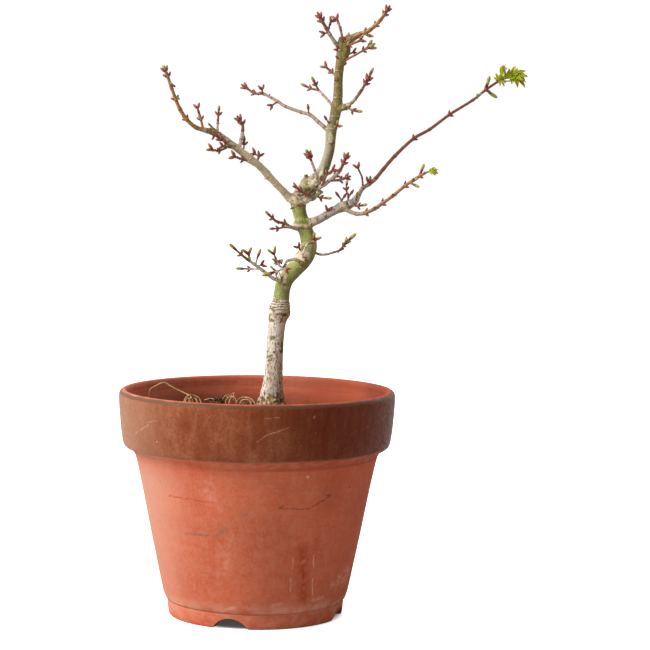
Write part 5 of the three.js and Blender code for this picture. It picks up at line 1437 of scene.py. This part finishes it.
    # The swelling under the rings, browner with painted shade where it faces right, and the root flare with
    # furrows whose painted shade grows towards the soil
    swollen = smooth_step(158.5, 161, levels) * smooth_step(168.4, 166.4, levels) * trunk
    wrinkles = waves(points, (0.5, 0.5, 0.95), 51.0)
    tones["earthy_and_shade"] = np.maximum(tones["earthy_and_shade"], swollen * smooth_step(-0.3, 0.6, aside) * 0.5)
    flare = 1 - smooth_step(116, 124, levels)
    furrow = waves(points, (0.7, 0.7, 0.16), 31.0)
    lift += swollen * wrinkles * 0.34 + flare * furrow * 0.6
    crease += swollen * smooth_step(-0.08, -0.42, wrinkles) * 0.5
    crease += flare * smooth_step(-0.05, -0.45, furrow) * 0.6
    move_points(wood, points + normals * (lift * MM)[:, None])
    mark(wood, crease=np.clip(crease, 0, 0.9),
         **{tone: np.clip(values, 0, 1) for tone, values in tones.items()})
    smooth(wood)
    hand_over(wood, bark_material(look), "bark", "wood")


# Buds: modelled once, closed, swelling and opening, then copied to every place

BUD_SIDES = 8
BUD_ROWS = {
    # reach along the bud, width, how far the row's paired tips run ahead, facet of the scales
    "closed": [
        (-0.14, 0.5, 0, 0), (0.12, 0.9, 0, 0), (0.34, 1.08, 0.07, 0), (0.38, 0.94, 0.07, 0),
        (0.56, 0.98, 0.06, 1), (0.6, 0.84, 0.06, 1), (0.82, 0.6, 0, 0), (0.98, 0.1, 0, 0),
    ],
    "opening": [
        (-0.12, 0.55, 0, 0), (0.14, 0.76, 0, 0), (0.34, 0.88, 0.06, 0), (0.38, 0.76, 0.06, 0),
        (0.56, 0.9, 0.06, 1), (0.76, 0.78, 0.03, 1), (0.9, 0.48, 0, 0), (0.99, 0.12, 0, 0),
    ],
    "nodule": [(-0.2, 0.7, 0, 0), (0.3, 1, 0, 0), (0.7, 0.75, 0, 0), (0.98, 0.2, 0, 0)],
}


def bud_model(kind, finishes):
    """A bud one unit long, standing on its foot, its rows of scales stepping in from pair to pair."""
    rows = BUD_ROWS[kind]
    section = [(width, reach) for reach, width, _, _ in rows]
    bud = turned("bud_" + kind, section, BUD_SIDES, unit=1, centre=(0, 0))
    face_outwards()
    points = points_of(bud)
    reach = points[:, 2].copy()
    edge = np.zeros(len(points))
    angle = np.arctan2(points[:, 1], points[:, 0])
    for row, (level, width, ahead, facet) in enumerate(rows):
        here = np.abs(reach - level) < 1e-4
        points[here, 2] += ahead * np.cos(2 * angle[here] + facet * math.pi)
        if kind == "nodule":
            edge[here] = 0.3 * (row == 3)
        elif ahead and width > rows[row + 1][1]:
            edge[here] = 0.75
        # Closed buds are a little four-sided, from the scales' keels
        keel = 1 + 0.07 * np.cos(4 * angle[here])
        points[here, 0] *= keel
        points[here, 1] *= keel * 0.94
    move_points(bud, points)
    mark(bud, reach=reach, edge=edge, leafy=0)
    bpy.ops.object.shade_smooth()
    for finish in finishes:
        bud.data.materials.append(finish)
    bud.data.polygons.foreach_set("material_index", [1] * len(bud.data.polygons))
    return bud


def put_bud(model, root, direction, side, length, radius, leafy, roll=0.0):
    """A copy of the model with its own mesh, standing at root along direction."""
    ahead = Vector(direction).normalized()
    across = (Vector(side) - ahead * ahead.dot(Vector(side))).normalized()
    over = ahead.cross(across)
    basis = Matrix((across, over, ahead)).transposed() @ Matrix.Rotation(roll, 3, "Z")
    bud = add_object("bud", model.data.copy())
    rows = points_of(bud) * np.array((radius, radius, length))
    bud.data.vertices.foreach_set("co", (rows @ np.array(basis).T + np.array(root)).ravel())
    mark(bud, leafy=leafy)
    return bud


def shoot_stem(way, width, pairs_from, share):
    """Samples, radii, age and scars of one stem of a shoot."""
    line = stem_line(way, 0.5)
    spots = np.array([spot for spot, _ in line])
    at = np.array([position for _, position in line])
    last = len(way) - 1
    radii = (width[0] + (width[1] - width[0]) * at / last) / 2 * share
    run = np.concatenate([[0], np.cumsum(np.linalg.norm(np.diff(spots, axis=0), axis=1))]) / MM
    scar = np.zeros(len(at))
    for joint in range(1, last + 1):
        gap = run - np.interp(joint, at, run)
        budded = joint >= pairs_from or joint == last
        radii = radii * (1 + (0.24 if budded else 0.13) * np.exp(-(gap / 0.8) ** 2))
        scar = np.maximum(scar, (0.5 if budded else 0.75) * np.exp(-((gap + 0.55) / 0.28) ** 2))
    radii = radii * (1 + 0.3 * np.exp(-run / 0.9))
    return spots, radii * MM, at / last, scar


def shoot_buds(way, width, pairs_from, tip, ripe, tip_green, draw, share):
    """Places of the buds on one stem: root, direction, side, size, how green its tip is, and kind."""
    joints = [place(joint) for joint in way]
    last = len(joints) - 1
    side = Vector((0, 1, 0))
    # The pair at the tip spreads across the view
    turned_by = (max(last - max(pairs_from, 1), 0) + TIP_PAIRS[tip]) % 2
    green = tip_green * (1 if ripe > 1 else 0.3)
    found = []
    for joint, spot in enumerate(joints):
        ahead = (joints[min(joint + 1, last)] - joints[max(joint - 1, 0)]).normalized()
        side = (side - ahead * side.dot(ahead)).normalized()
        across = ahead.cross(side)
        radius = (width[0] + (width[1] - width[0]) * joint / last) / 2 * MM * share
        at_tip = joint == last
        pairs = TIP_PAIRS[tip] if at_tip else int(0 < joint and joint >= pairs_from)

        def pair(back, size, lean, leafy, kind):
            nonlocal turned_by
            turned_by += 1
            centre = spot - ahead * back * MM
            for facet in (turned_by % 2, turned_by % 2 + 2):
                angle = (facet + 1) / 4 * 2 * math.pi
                out = side * math.cos(angle) + across * math.sin(angle)
                leaning = ahead * math.cos(lean) + out * math.sin(lean)
                found.append((centre + out * radius * 0.55, leaning, ahead.cross(out), size, leafy, kind))

        for _ in range(pairs):
            size = (1.12 * ripe if at_tip else 1) * (0.88 + next(draw) * 0.24)
            if at_tip:
                pair(NODE_HALF, size, TIP_LEAN, green * (0.5 + next(draw) * 0.6), "bud")
            else:
                pair(0, size * 0.9, PAIR_LEAN, green * 0.5 * next(draw), "bud")
        if at_tip and TIP_ENDED[tip]:
            size = ripe * (1 + next(draw) * 0.2)
            found.append((spot - ahead * 0.3 * MM, ahead, side, size, green, "bud"))
        if at_tip and tip == "crown":
            pair(NODE_HALF + 1.5, 0.9, 0.8, green * 0.3, "bud")
        # Scales left at the foot of last year's growth, on the young part of the twig
        if joint >= max(pairs_from, 1) and tip != "none":
            run = (spot - joints[joint - 1]).length / MM
            count = max(1, int(run / 2.6))
            for number in range(count):
                pair(run * (number + 0.5) / count, NODULE_SIZE, PAIR_LEAN, 0, "nodule")
                turned_by += 1
    return found


def put_buds(piece, rows, models, look):
    """Joins a copy of the right model at each place to the piece."""
    pieces = [piece]
    for number, (root, direction, side, size, green, kind) in enumerate(rows):
        if kind == "bud":
            kind = "opening" if size * (0.75 + green * 0.5) > 1.3 else "closed"
        plump = 1 + 0.45 * max(0, size - 1.15)
        pieces.append(put_bud(
            models[kind], root, direction, side, look.bud_length * size ** 1.5,
            look.bud_radius * size ** 0.7 * plump, green, roll=(number % 2) * math.pi / 2))
    return joined(pieces)


def build_shoots(look):
    finishes = [twig_material(look), bud_material(look)]
    models = {kind: bud_model(kind, finishes) for kind in BUD_ROWS}
    for index, (name, stems) in enumerate(SHOOTS.items()):
        draw = draws(101 + index * 37)
        green, amber, old, lilac = SHOOT_LOOKS.get(name, PLAIN_SHOOT)
        parts = [shoot_stem(*stem[:3], look.twig_share) for stem in stems]
        rows = []
        for stem in stems:
            rows += shoot_buds(*stem, green, draw, look.twig_share)
        twig = tubes("shoot_" + name, [list(zip(map(Vector, part[0]), part[1])) for part in parts])
        fuse(twig, look.twig_grain)
        # Side stems are young from their foot, save where the whole spray is pale
        spots, radii, scar = (np.concatenate([part[column] for part in parts]) for column in (0, 1, 3))
        along = np.concatenate([part[2] if lilac >= 0.6 or number == 0 else np.ones(len(part[2]))
                                for number, part in enumerate(parts)])
        points = points_of(twig)
        near = nearest(points, spots, radii)
        lift = waves(points, 0.8) * 0.05 + waves(points, 2.0, 5.0) * 0.02 + 0.03
        move_points(twig, points + normals_of(twig) * (lift * MM)[:, None])
        mark(twig, age=smooth_step(old + 0.12, old - 0.12, along[near]), amber=amber, lilac=lilac,
             scar=np.clip(scar[near], 0, 1), leafy=0)
        for finish in finishes:
            twig.data.materials.append(finish)
        twig = put_buds(twig, rows, models, look)
        smooth(twig)
        hand_over(twig, None, "shoots", name)
    (root, direction, side, size, green, _), *others = [
        (place(spot), heading(*way), Vector((1, 0, 0)), size, green, "bud")
        for spot, way, size, green in TRUNK_BUDS]
    first = put_bud(models["closed"], root, direction, side, look.bud_length * size,
                    look.bud_radius * size, green)
    first.name = "trunk_buds"
    buds = put_buds(first, others, models, look)
    smooth(buds)
    hand_over(buds, None, "shoots")
    for model in models.values():
        bpy.data.objects.remove(model)


# Leaves

LOBE_ANGLES = [-118, -66, 0, 66, 118]
LOBE_REACH = [0.5, 0.82, 1, 0.82, 0.5]
LEAF_RINGS = 8
LEAF_SPOKES = 84


def leaf_outline(angle):
    """How far the blade reaches at an angle from its middle lobe, and how near a midrib that is."""
    best, rib = 0.2, 0.0
    for centre, reach in zip(LOBE_ANGLES, LOBE_REACH):
        away = abs(angle - centre) / 33
        if away < 1:
            teeth = 0.07 * abs(math.sin(away * 9.4))
            lobe = reach * ((1 - away) ** 0.62 * (1 - 0.44) + 0.44 - teeth * (1 - away) ** 0.4)
            best = max(best, lobe)
        rib = max(rib, 1 - abs(angle - centre) / 7)
    return best, max(rib, 0)


def leaf_blade(name, root, ahead, face, length, spread, seed):
    """One young leaf: hand-shaped, toothed, folded along its ribs, crinkled and curled."""
    draw = random.Random(seed)
    fold, curl, twist = draw.uniform(0.5, 0.9), draw.uniform(0.15, 0.55), draw.uniform(-0.5, 0.5)
    points, values, faces = [], [], []
    for ring in range(1, LEAF_RINGS + 1):
        share = ring / LEAF_RINGS
        for angle in np.linspace(-150, 150, LEAF_SPOKES):
            reach, rib = leaf_outline(angle)
            out = reach * share * length
            turn = math.radians(angle * spread)
            x, y = math.sin(turn) * out, math.cos(turn) * out
            nearest_rib = min(abs(angle - centre) for centre in LOBE_ANGLES)
            pleat = min(nearest_rib, 30) / 30 * fold * (0.52 - 0.3 * spread) * out
            droop = -curl * out * out / length * (0.6 + 0.4 * math.cos(turn))
            crinkle = 0.11 * length * share * wave(Vector((x * 1.3, y * 1.3, seed * 3.1)))
            lean = twist * x * 0.35
            points.append((x, y, pleat + droop + crinkle + lean))
            values.append((share * (0.75 + 0.25 * reach), rib * (1 - 0.5 * share)))
    for ring in range(LEAF_RINGS - 1):
        for spoke in range(LEAF_SPOKES - 1):
            a = ring * LEAF_SPOKES + spoke
            faces.append((a, a + 1, a + 1 + LEAF_SPOKES, a + LEAF_SPOKES))
    points.append((0, 0, 0))
    values.append((0, 1))
    for spoke in range(LEAF_SPOKES - 1):
        faces.append((len(points) - 1, spoke + 1, spoke))
    up = (face - ahead * face.dot(ahead)).normalized()
    basis = np.array(Matrix((ahead.cross(up), ahead, up)).transposed())
    mesh = bpy.data.meshes.new(name)
    mesh.from_pydata((np.array(points) * MM @ basis.T + np.array(root)).tolist(), [], faces)
    blade = add_object(name, mesh)
    reach, vein = zip(*values)
    mark(blade, reach=reach, vein=vein)
    apply_modifier(blade, "SOLIDIFY", thickness=0.2 * MM, offset=0)
    return blade


def build_leaves(look):
    leaf_finish = leaf_material(look)
    for number, (name, tuft) in enumerate(TUFTS.items()):
        blades = []
        for index, (root, way, length, spread) in enumerate(tuft["leaves"]):
            ahead = heading(*way)
            face = Vector((-ahead.z * 0.4, -1, ahead.x * 0.6 + 0.5))
            blades.append(leaf_blade(name + "_blades", place(root) - ahead * 0.3 * MM, ahead, face,
                                     length, spread, number * 40 + index + 1))
        leaves = joined(blades)
        smooth(leaves)
        hand_over(leaves, leaf_finish, "leaves", name)
        ways = []
        for way in tuft["stalks"]:
            line = stem_line(way, 0.4)
            share = np.linspace(1, 0.6, len(line))
            ways.append([(spot, tuft["width"] / 2 * MM * thin) for (spot, _), thin in zip(line, share)])
        stalks = tubes(name + "_stalks", ways)
        fuse(stalks, look.twig_grain * 0.8)
        mark(stalks, age=0, amber=0.3, scar=0, lilac=0, leafy=0.2)
        hand_over(stalks, bpy.data.materials["young_bark"], "shoots")


# Soil and litter

def soil_level(x, y):
    """Level of the soil in millimetres at a place measured from the pot's axis."""
    mound = np.exp(-((x + 2) ** 2 + (y - 2) ** 2) / (2 * SOIL_MOUND_SPREAD ** 2))
    grain = 0.35 * np.sin(x * 0.9 + 1.3) * np.sin(y * 0.8) + 0.3 * np.sin(x * 0.37 - y * 0.51)
    return SOIL_EDGE_LEVEL + SOIL_MOUND_HEIGHT * mound + grain


def build_soil(look):
    soil = turned("soil_bed", [SOIL_FOOT, (SOIL_RADIUS, SOIL_EDGE_LEVEL)], SOIL_SPOKES)
    reach = SOIL_RADIUS
    for _ in range(SOIL_RINGS):
        nearer = reach - SOIL_RADIUS / (SOIL_RINGS + 1)
        bpy.ops.mesh.inset(thickness=0)
        bpy.ops.transform.resize(value=(nearer / reach, nearer / reach, 1),
                                 center_override=(AXIS.x, AXIS.y, SOIL_EDGE_LEVEL * MM))
        reach = nearer
    bpy.ops.mesh.merge(type="CENTER")
    face_outwards()
    points = points_of(soil)
    raised = points[:, 2] > (SOIL_EDGE_LEVEL - 1) * MM
    x = (points[:, 0] - AXIS.x) / MM
    y = (points[:, 1] - AXIS.y) / MM
    flat = points * np.array((1, 1, 0))
    clods = waves(flat, 0.22) * 0.9 + np.abs(waves(flat, 0.62, 4.0)) * 1.1 + waves(flat, 1.4, 9.0) * 0.3
    keep = smooth_step(0, 2.5, SOIL_RADIUS - np.hypot(x, y))
    points[:, 2] = np.where(raised, (soil_level(x, y) - 0.5 + clods * keep) * MM, points[:, 2])
    move_points(soil, points)
    bpy.ops.object.shade_smooth()
    damp = darker(look.soil, DAMP_SHARE)
    hand_over(soil, stroked_material("soil", look.soil, damp, look.soil_pale, 900.0, 0.86, 0.5 * MM),
              "soil", "soil")

    # Loose crumbs, some of them dry and pale, on the whole of the soil
    model = ball(1)
    base = points_of(model)
    count = len(base)
    faces = [tuple(face.vertices) for face in model.data.polygons]
    draw = random.Random(41)
    rows, drawn, dryness = [], [], []
    for _ in range(look.crumbs):
        reach = math.sqrt(draw.random()) * (SOIL_RADIUS - 1.6)
        angle = draw.random() * 2 * math.pi
        x, y = math.cos(angle) * reach, math.sin(angle) * reach
        size = look.crumb_size * (0.35 + draw.random() ** 3 * 1.5)
        if reach > SOIL_RADIUS - 3.5:
            size = min(size, look.crumb_size)
        shape = np.array((1, 0.6 + draw.random() * 0.4, 0.45 + draw.random() * 0.4)) * size
        turn = Euler([draw.random() * 6.28 for _ in range(3)]).to_matrix()
        ragged = 1 + np.array([draw.uniform(-0.22, 0.22) for _ in range(count)])[:, None]
        spot = np.array((AXIS.x + x * MM, AXIS.y + y * MM, (soil_level(x, y) + 0.1) * MM + size * 0.25))
        start = len(rows) * count
        rows.append((base * ragged * shape) @ np.array(turn).T + spot)
        drawn += [tuple(start + corner for corner in face) for face in faces]
        dryness += [draw.random() ** 2.2] * count
    mesh = bpy.data.meshes.new("soil_crumbs")
    mesh.from_pydata(np.concatenate(rows).tolist(), [], drawn)
    crumbs = add_object("soil_crumbs", mesh)
    bpy.data.objects.remove(model)
    mark(crumbs, dryness=dryness)
    hand_over(crumbs, crumb_material(look), "soil")


def build_litter(look):
    dry = stroked_material("dry_root", look.dry_root, srgb(136, 96, 56), srgb(212, 182, 138), 900.0,
                           0.72, 0.12 * MM)
    for name, (ways, radius) in DRY_ROOTS.items():
        stems = []
        for number, way in enumerate(ways):
            line = stem_line(way, 0.6)
            stem = []
            for step, (spot, _) in enumerate(line):
                knobs = 1 + 0.22 * wave(Vector((step * 0.35, number * 5, 2)))
                thin = 0.75 + 0.25 * math.sin(math.pi * step / (len(line) - 1))
                stem.append((spot, radius * knobs * thin * MM))
            stems.append(stem)
        roots = tubes(name + "_roots", stems)
        fuse(roots, 0.2 * MM, rounds=1)
        hand_over(roots, dry, "dry_roots", name)
    straws = tubes("straws", [[(place(joint), joint[3] * MM) for joint in way] for way in STRAWS])
    smooth(straws)
    hand_over(straws, dry, "dry_roots")

    # The dark tuft: a matted heart with blades and threads out of it
    middle = place(MOSS_CENTRE)
    draw = random.Random(12)
    heart = ball(4)
    points = points_of(heart) * np.array(MOSS_SIZE)
    points *= (1 + waves(points * MM, 0.9)[:, None] * 0.3)
    move_points(heart, points * MM + np.array(middle))
    blades = []
    for _ in range(MOSS_BLADES):
        across, back = draw.uniform(-0.9, 0.9), draw.uniform(-0.8, 0.8)
        ahead = Vector((across * 0.9, back * 0.9, 0.7 + draw.random() * 0.6)).normalized()
        root = middle + Vector((across * 3, back * 1.6, 0.8)) * MM
        reach = (2 + draw.random() * 3.6) * MM
        sag = Vector((draw.uniform(-1, 1), draw.uniform(-1, 1), -1)).normalized()
        bend = root + ahead * reach * 0.6
        tip = bend + (ahead * 0.5 + sag * 0.35) * reach
        width = draw.uniform(0.1, 0.2) * MM
        blades.append([(root, width * 1.4), (bend, width), (tip, width * 0.35)])
    tuft = joined([tubes("moss_tuft", blades, sides=4), heart])
    smooth(tuft)
    finish = stroked_material("moss", look.tuft, srgb(40, 24, 14), srgb(158, 114, 66), 700.0, 0.88, 0.3 * MM)
    hand_over(tuft, finish, "moss", "moss")


def build_stage(look):
    deselect()
    bpy.ops.mesh.primitive_plane_add(size=8, location=(0, 0, 0))
    floor = bpy.context.object
    floor.name = "floor"
    made, tree, shader, where = new_material("floor")
    # Painted shadow: the floor's own glow fades out in a ring round the foot, its middle set 2 mm to the
    # right, so a soft shade shows round the pot; it keeps a twentieth of its glow there, a faint painted
    # light on the floor seen through the notches
    from_shadow_middle = node(tree, "ShaderNodeVectorMath", {0: where, 1: (-2 * MM, 0, 0)}).outputs[0]
    flat = node(tree, "ShaderNodeVectorMath", {0: from_shadow_middle, 1: (1, 1, 0)}, operation="MULTIPLY").outputs[0]
    away = node(tree, "ShaderNodeVectorMath", {0: flat}, operation="LENGTH").outputs["Value"]
    clear = maths("MAXIMUM", between(away, (FOOT_RADIUS - 7) * MM, (FOOT_RADIUS + 3) * MM), 0.05)
    seen = node(tree, "ShaderNodeLightPath").outputs["Is Camera Ray"]
    for name, value in (("Base Color", (*look.floor, 1)), ("Roughness", 0.9),
                        ("Emission Color", (1, 1, 1, 1)),
                        ("Emission Strength", times(seen, look.floor_glow, clear))):
        feed(shader.inputs[name], value)
    floor.data.materials.append(made)

    deselect()
    turn = Matrix.Rotation(math.pi / 2 - look.pitch, 4, "X") @ Matrix.Rotation(look.roll, 4, "Z")
    bpy.ops.object.camera_add(location=EYE, rotation=turn.to_euler())
    camera = bpy.context.object
    camera.data.sensor_width = SENSOR_WIDTH
    camera.data.lens = look.lens
    camera.data.clip_start = 0.05
    camera.data.clip_end = 50
    bpy.context.scene.camera = camera

    for name, away, size, power in (("key", KEY_PLACE, 0.9, look.key),
                                    ("rim", RIM_PLACE, 1.2, look.key * RIM_SHARE)):
        deselect()
        spot = AXIS + Vector(away)
        aim = (AXIS + Vector(LIGHT_AIM) - spot).to_track_quat("-Z", "Y").to_euler()
        bpy.ops.object.light_add(type="AREA", location=spot, rotation=aim)
        light = bpy.context.object
        light.name = name + "_light"
        light.data.size = size
        light.data.energy = power

    world = bpy.data.worlds.new("room")
    bpy.context.scene.world = world
    world.use_nodes = True
    tree = world.node_tree
    tree.nodes.clear()
    way = node(tree, "ShaderNodeSeparateXYZ",
               {"Vector": node(tree, "ShaderNodeTexCoord").outputs["Generated"]}).outputs
    strength = times_plus(between(way[1], -0.35, 0.65), look.back_light - look.front_light,
                          look.front_light)
    strength = times_plus(between(way[2], 0.2, 0.95), look.back_light * 0.3, strength)
    lit = node(tree, "ShaderNodeBackground", {"Color": (1, 0.985, 0.97, 1), "Strength": strength})
    seen = node(tree, "ShaderNodeBackground", {"Color": (1, 1, 1, 1), "Strength": BACKDROP})
    mixed = node(tree, "ShaderNodeMixShader", {
        0: node(tree, "ShaderNodeLightPath").outputs["Is Camera Ray"], 1: lit.outputs[0],
        2: seen.outputs[0]})
    node(tree, "ShaderNodeOutputWorld", {"Surface": mixed.outputs[0]})
    bpy.context.scene.view_settings.view_transform = "Standard"


class BONSAI_OT_pot(Operator):
    """Turns the clay pot with its glazed band, rounded lip and notched foot"""
    bl_idname = "bonsai.pot"
    bl_label = "Clay pot"

    def execute(self, context):
        build_pot(context.scene.bonsai_pot)
        return {"FINISHED"}


class BONSAI_OT_wood(Operator):
    """Grows the trunk, its root flare, the knot and both limbs in one piece"""
    bl_idname = "bonsai.wood"
    bl_label = "Trunk and limbs"

    def execute(self, context):
        build_wood(context.scene.bonsai_tree)
        return {"FINISHED"}


class BONSAI_OT_shoots(Operator):
    """Grows every shoot with its pairs of buds"""
    bl_idname = "bonsai.shoots"
    bl_label = "Shoots and buds"

    def execute(self, context):
        build_shoots(context.scene.bonsai_tree)
        return {"FINISHED"}


class BONSAI_OT_leaves(Operator):
    """Opens the two tufts of young leaves"""
    bl_idname = "bonsai.leaves"
    bl_label = "Young leaves"

    def execute(self, context):
        build_leaves(context.scene.bonsai_tree)
        return {"FINISHED"}


class BONSAI_OT_soil(Operator):
    """Fills the pot with soil and strews loose crumbs"""
    bl_idname = "bonsai.soil"
    bl_label = "Soil"

    def execute(self, context):
        build_soil(context.scene.bonsai_ground)
        return {"FINISHED"}


class BONSAI_OT_litter(Operator):
    """Lays dry roots, straws and a tuft of moss on the soil"""
    bl_idname = "bonsai.litter"
    bl_label = "Roots, straws and moss"

    def execute(self, context):
        build_litter(context.scene.bonsai_ground)
        return {"FINISHED"}


class BONSAI_OT_stage(Operator):
    """Sets up the floor, the soft lights and the camera"""
    bl_idname = "bonsai.stage"
    bl_label = "Floor, lights and camera"

    def execute(self, context):
        build_stage(context.scene.bonsai_stage)
        return {"FINISHED"}


STEPS = (
    BONSAI_OT_stage, BONSAI_OT_pot, BONSAI_OT_wood, BONSAI_OT_shoots, BONSAI_OT_leaves,
    BONSAI_OT_soil, BONSAI_OT_litter,
)
SETTINGS = {
    "bonsai_pot": PotSettings, "bonsai_tree": TreeSettings, "bonsai_ground": GroundSettings,
    "bonsai_stage": StageSettings,
}


class BONSAI_PT_build(Panel):
    """Lists the steps in the order in which they build the bonsai"""
    bl_label = "Maple bonsai"
    bl_idname = "BONSAI_PT_build"
    bl_space_type = "VIEW_3D"
    bl_region_type = "UI"
    bl_category = "Bonsai"

    def draw(self, context):
        for step in STEPS:
            self.layout.operator(step.bl_idname)


def register():
    for made in (*SETTINGS.values(), *STEPS, BONSAI_PT_build):
        bpy.utils.register_class(made)
    for name, made in SETTINGS.items():
        setattr(bpy.types.Scene, name, PointerProperty(type=made))


def unregister():
    for name in SETTINGS:
        delattr(bpy.types.Scene, name)
    for made in reversed((*SETTINGS.values(), *STEPS, BONSAI_PT_build)):
        bpy.utils.unregister_class(made)


def main():
    register()
    bpy.ops.bonsai.stage()
    bpy.ops.bonsai.pot()
    bpy.ops.bonsai.wood()
    bpy.ops.bonsai.shoots()
    bpy.ops.bonsai.leaves()
    bpy.ops.bonsai.soil()
    bpy.ops.bonsai.litter()


if __name__ == "__main__":
    main()
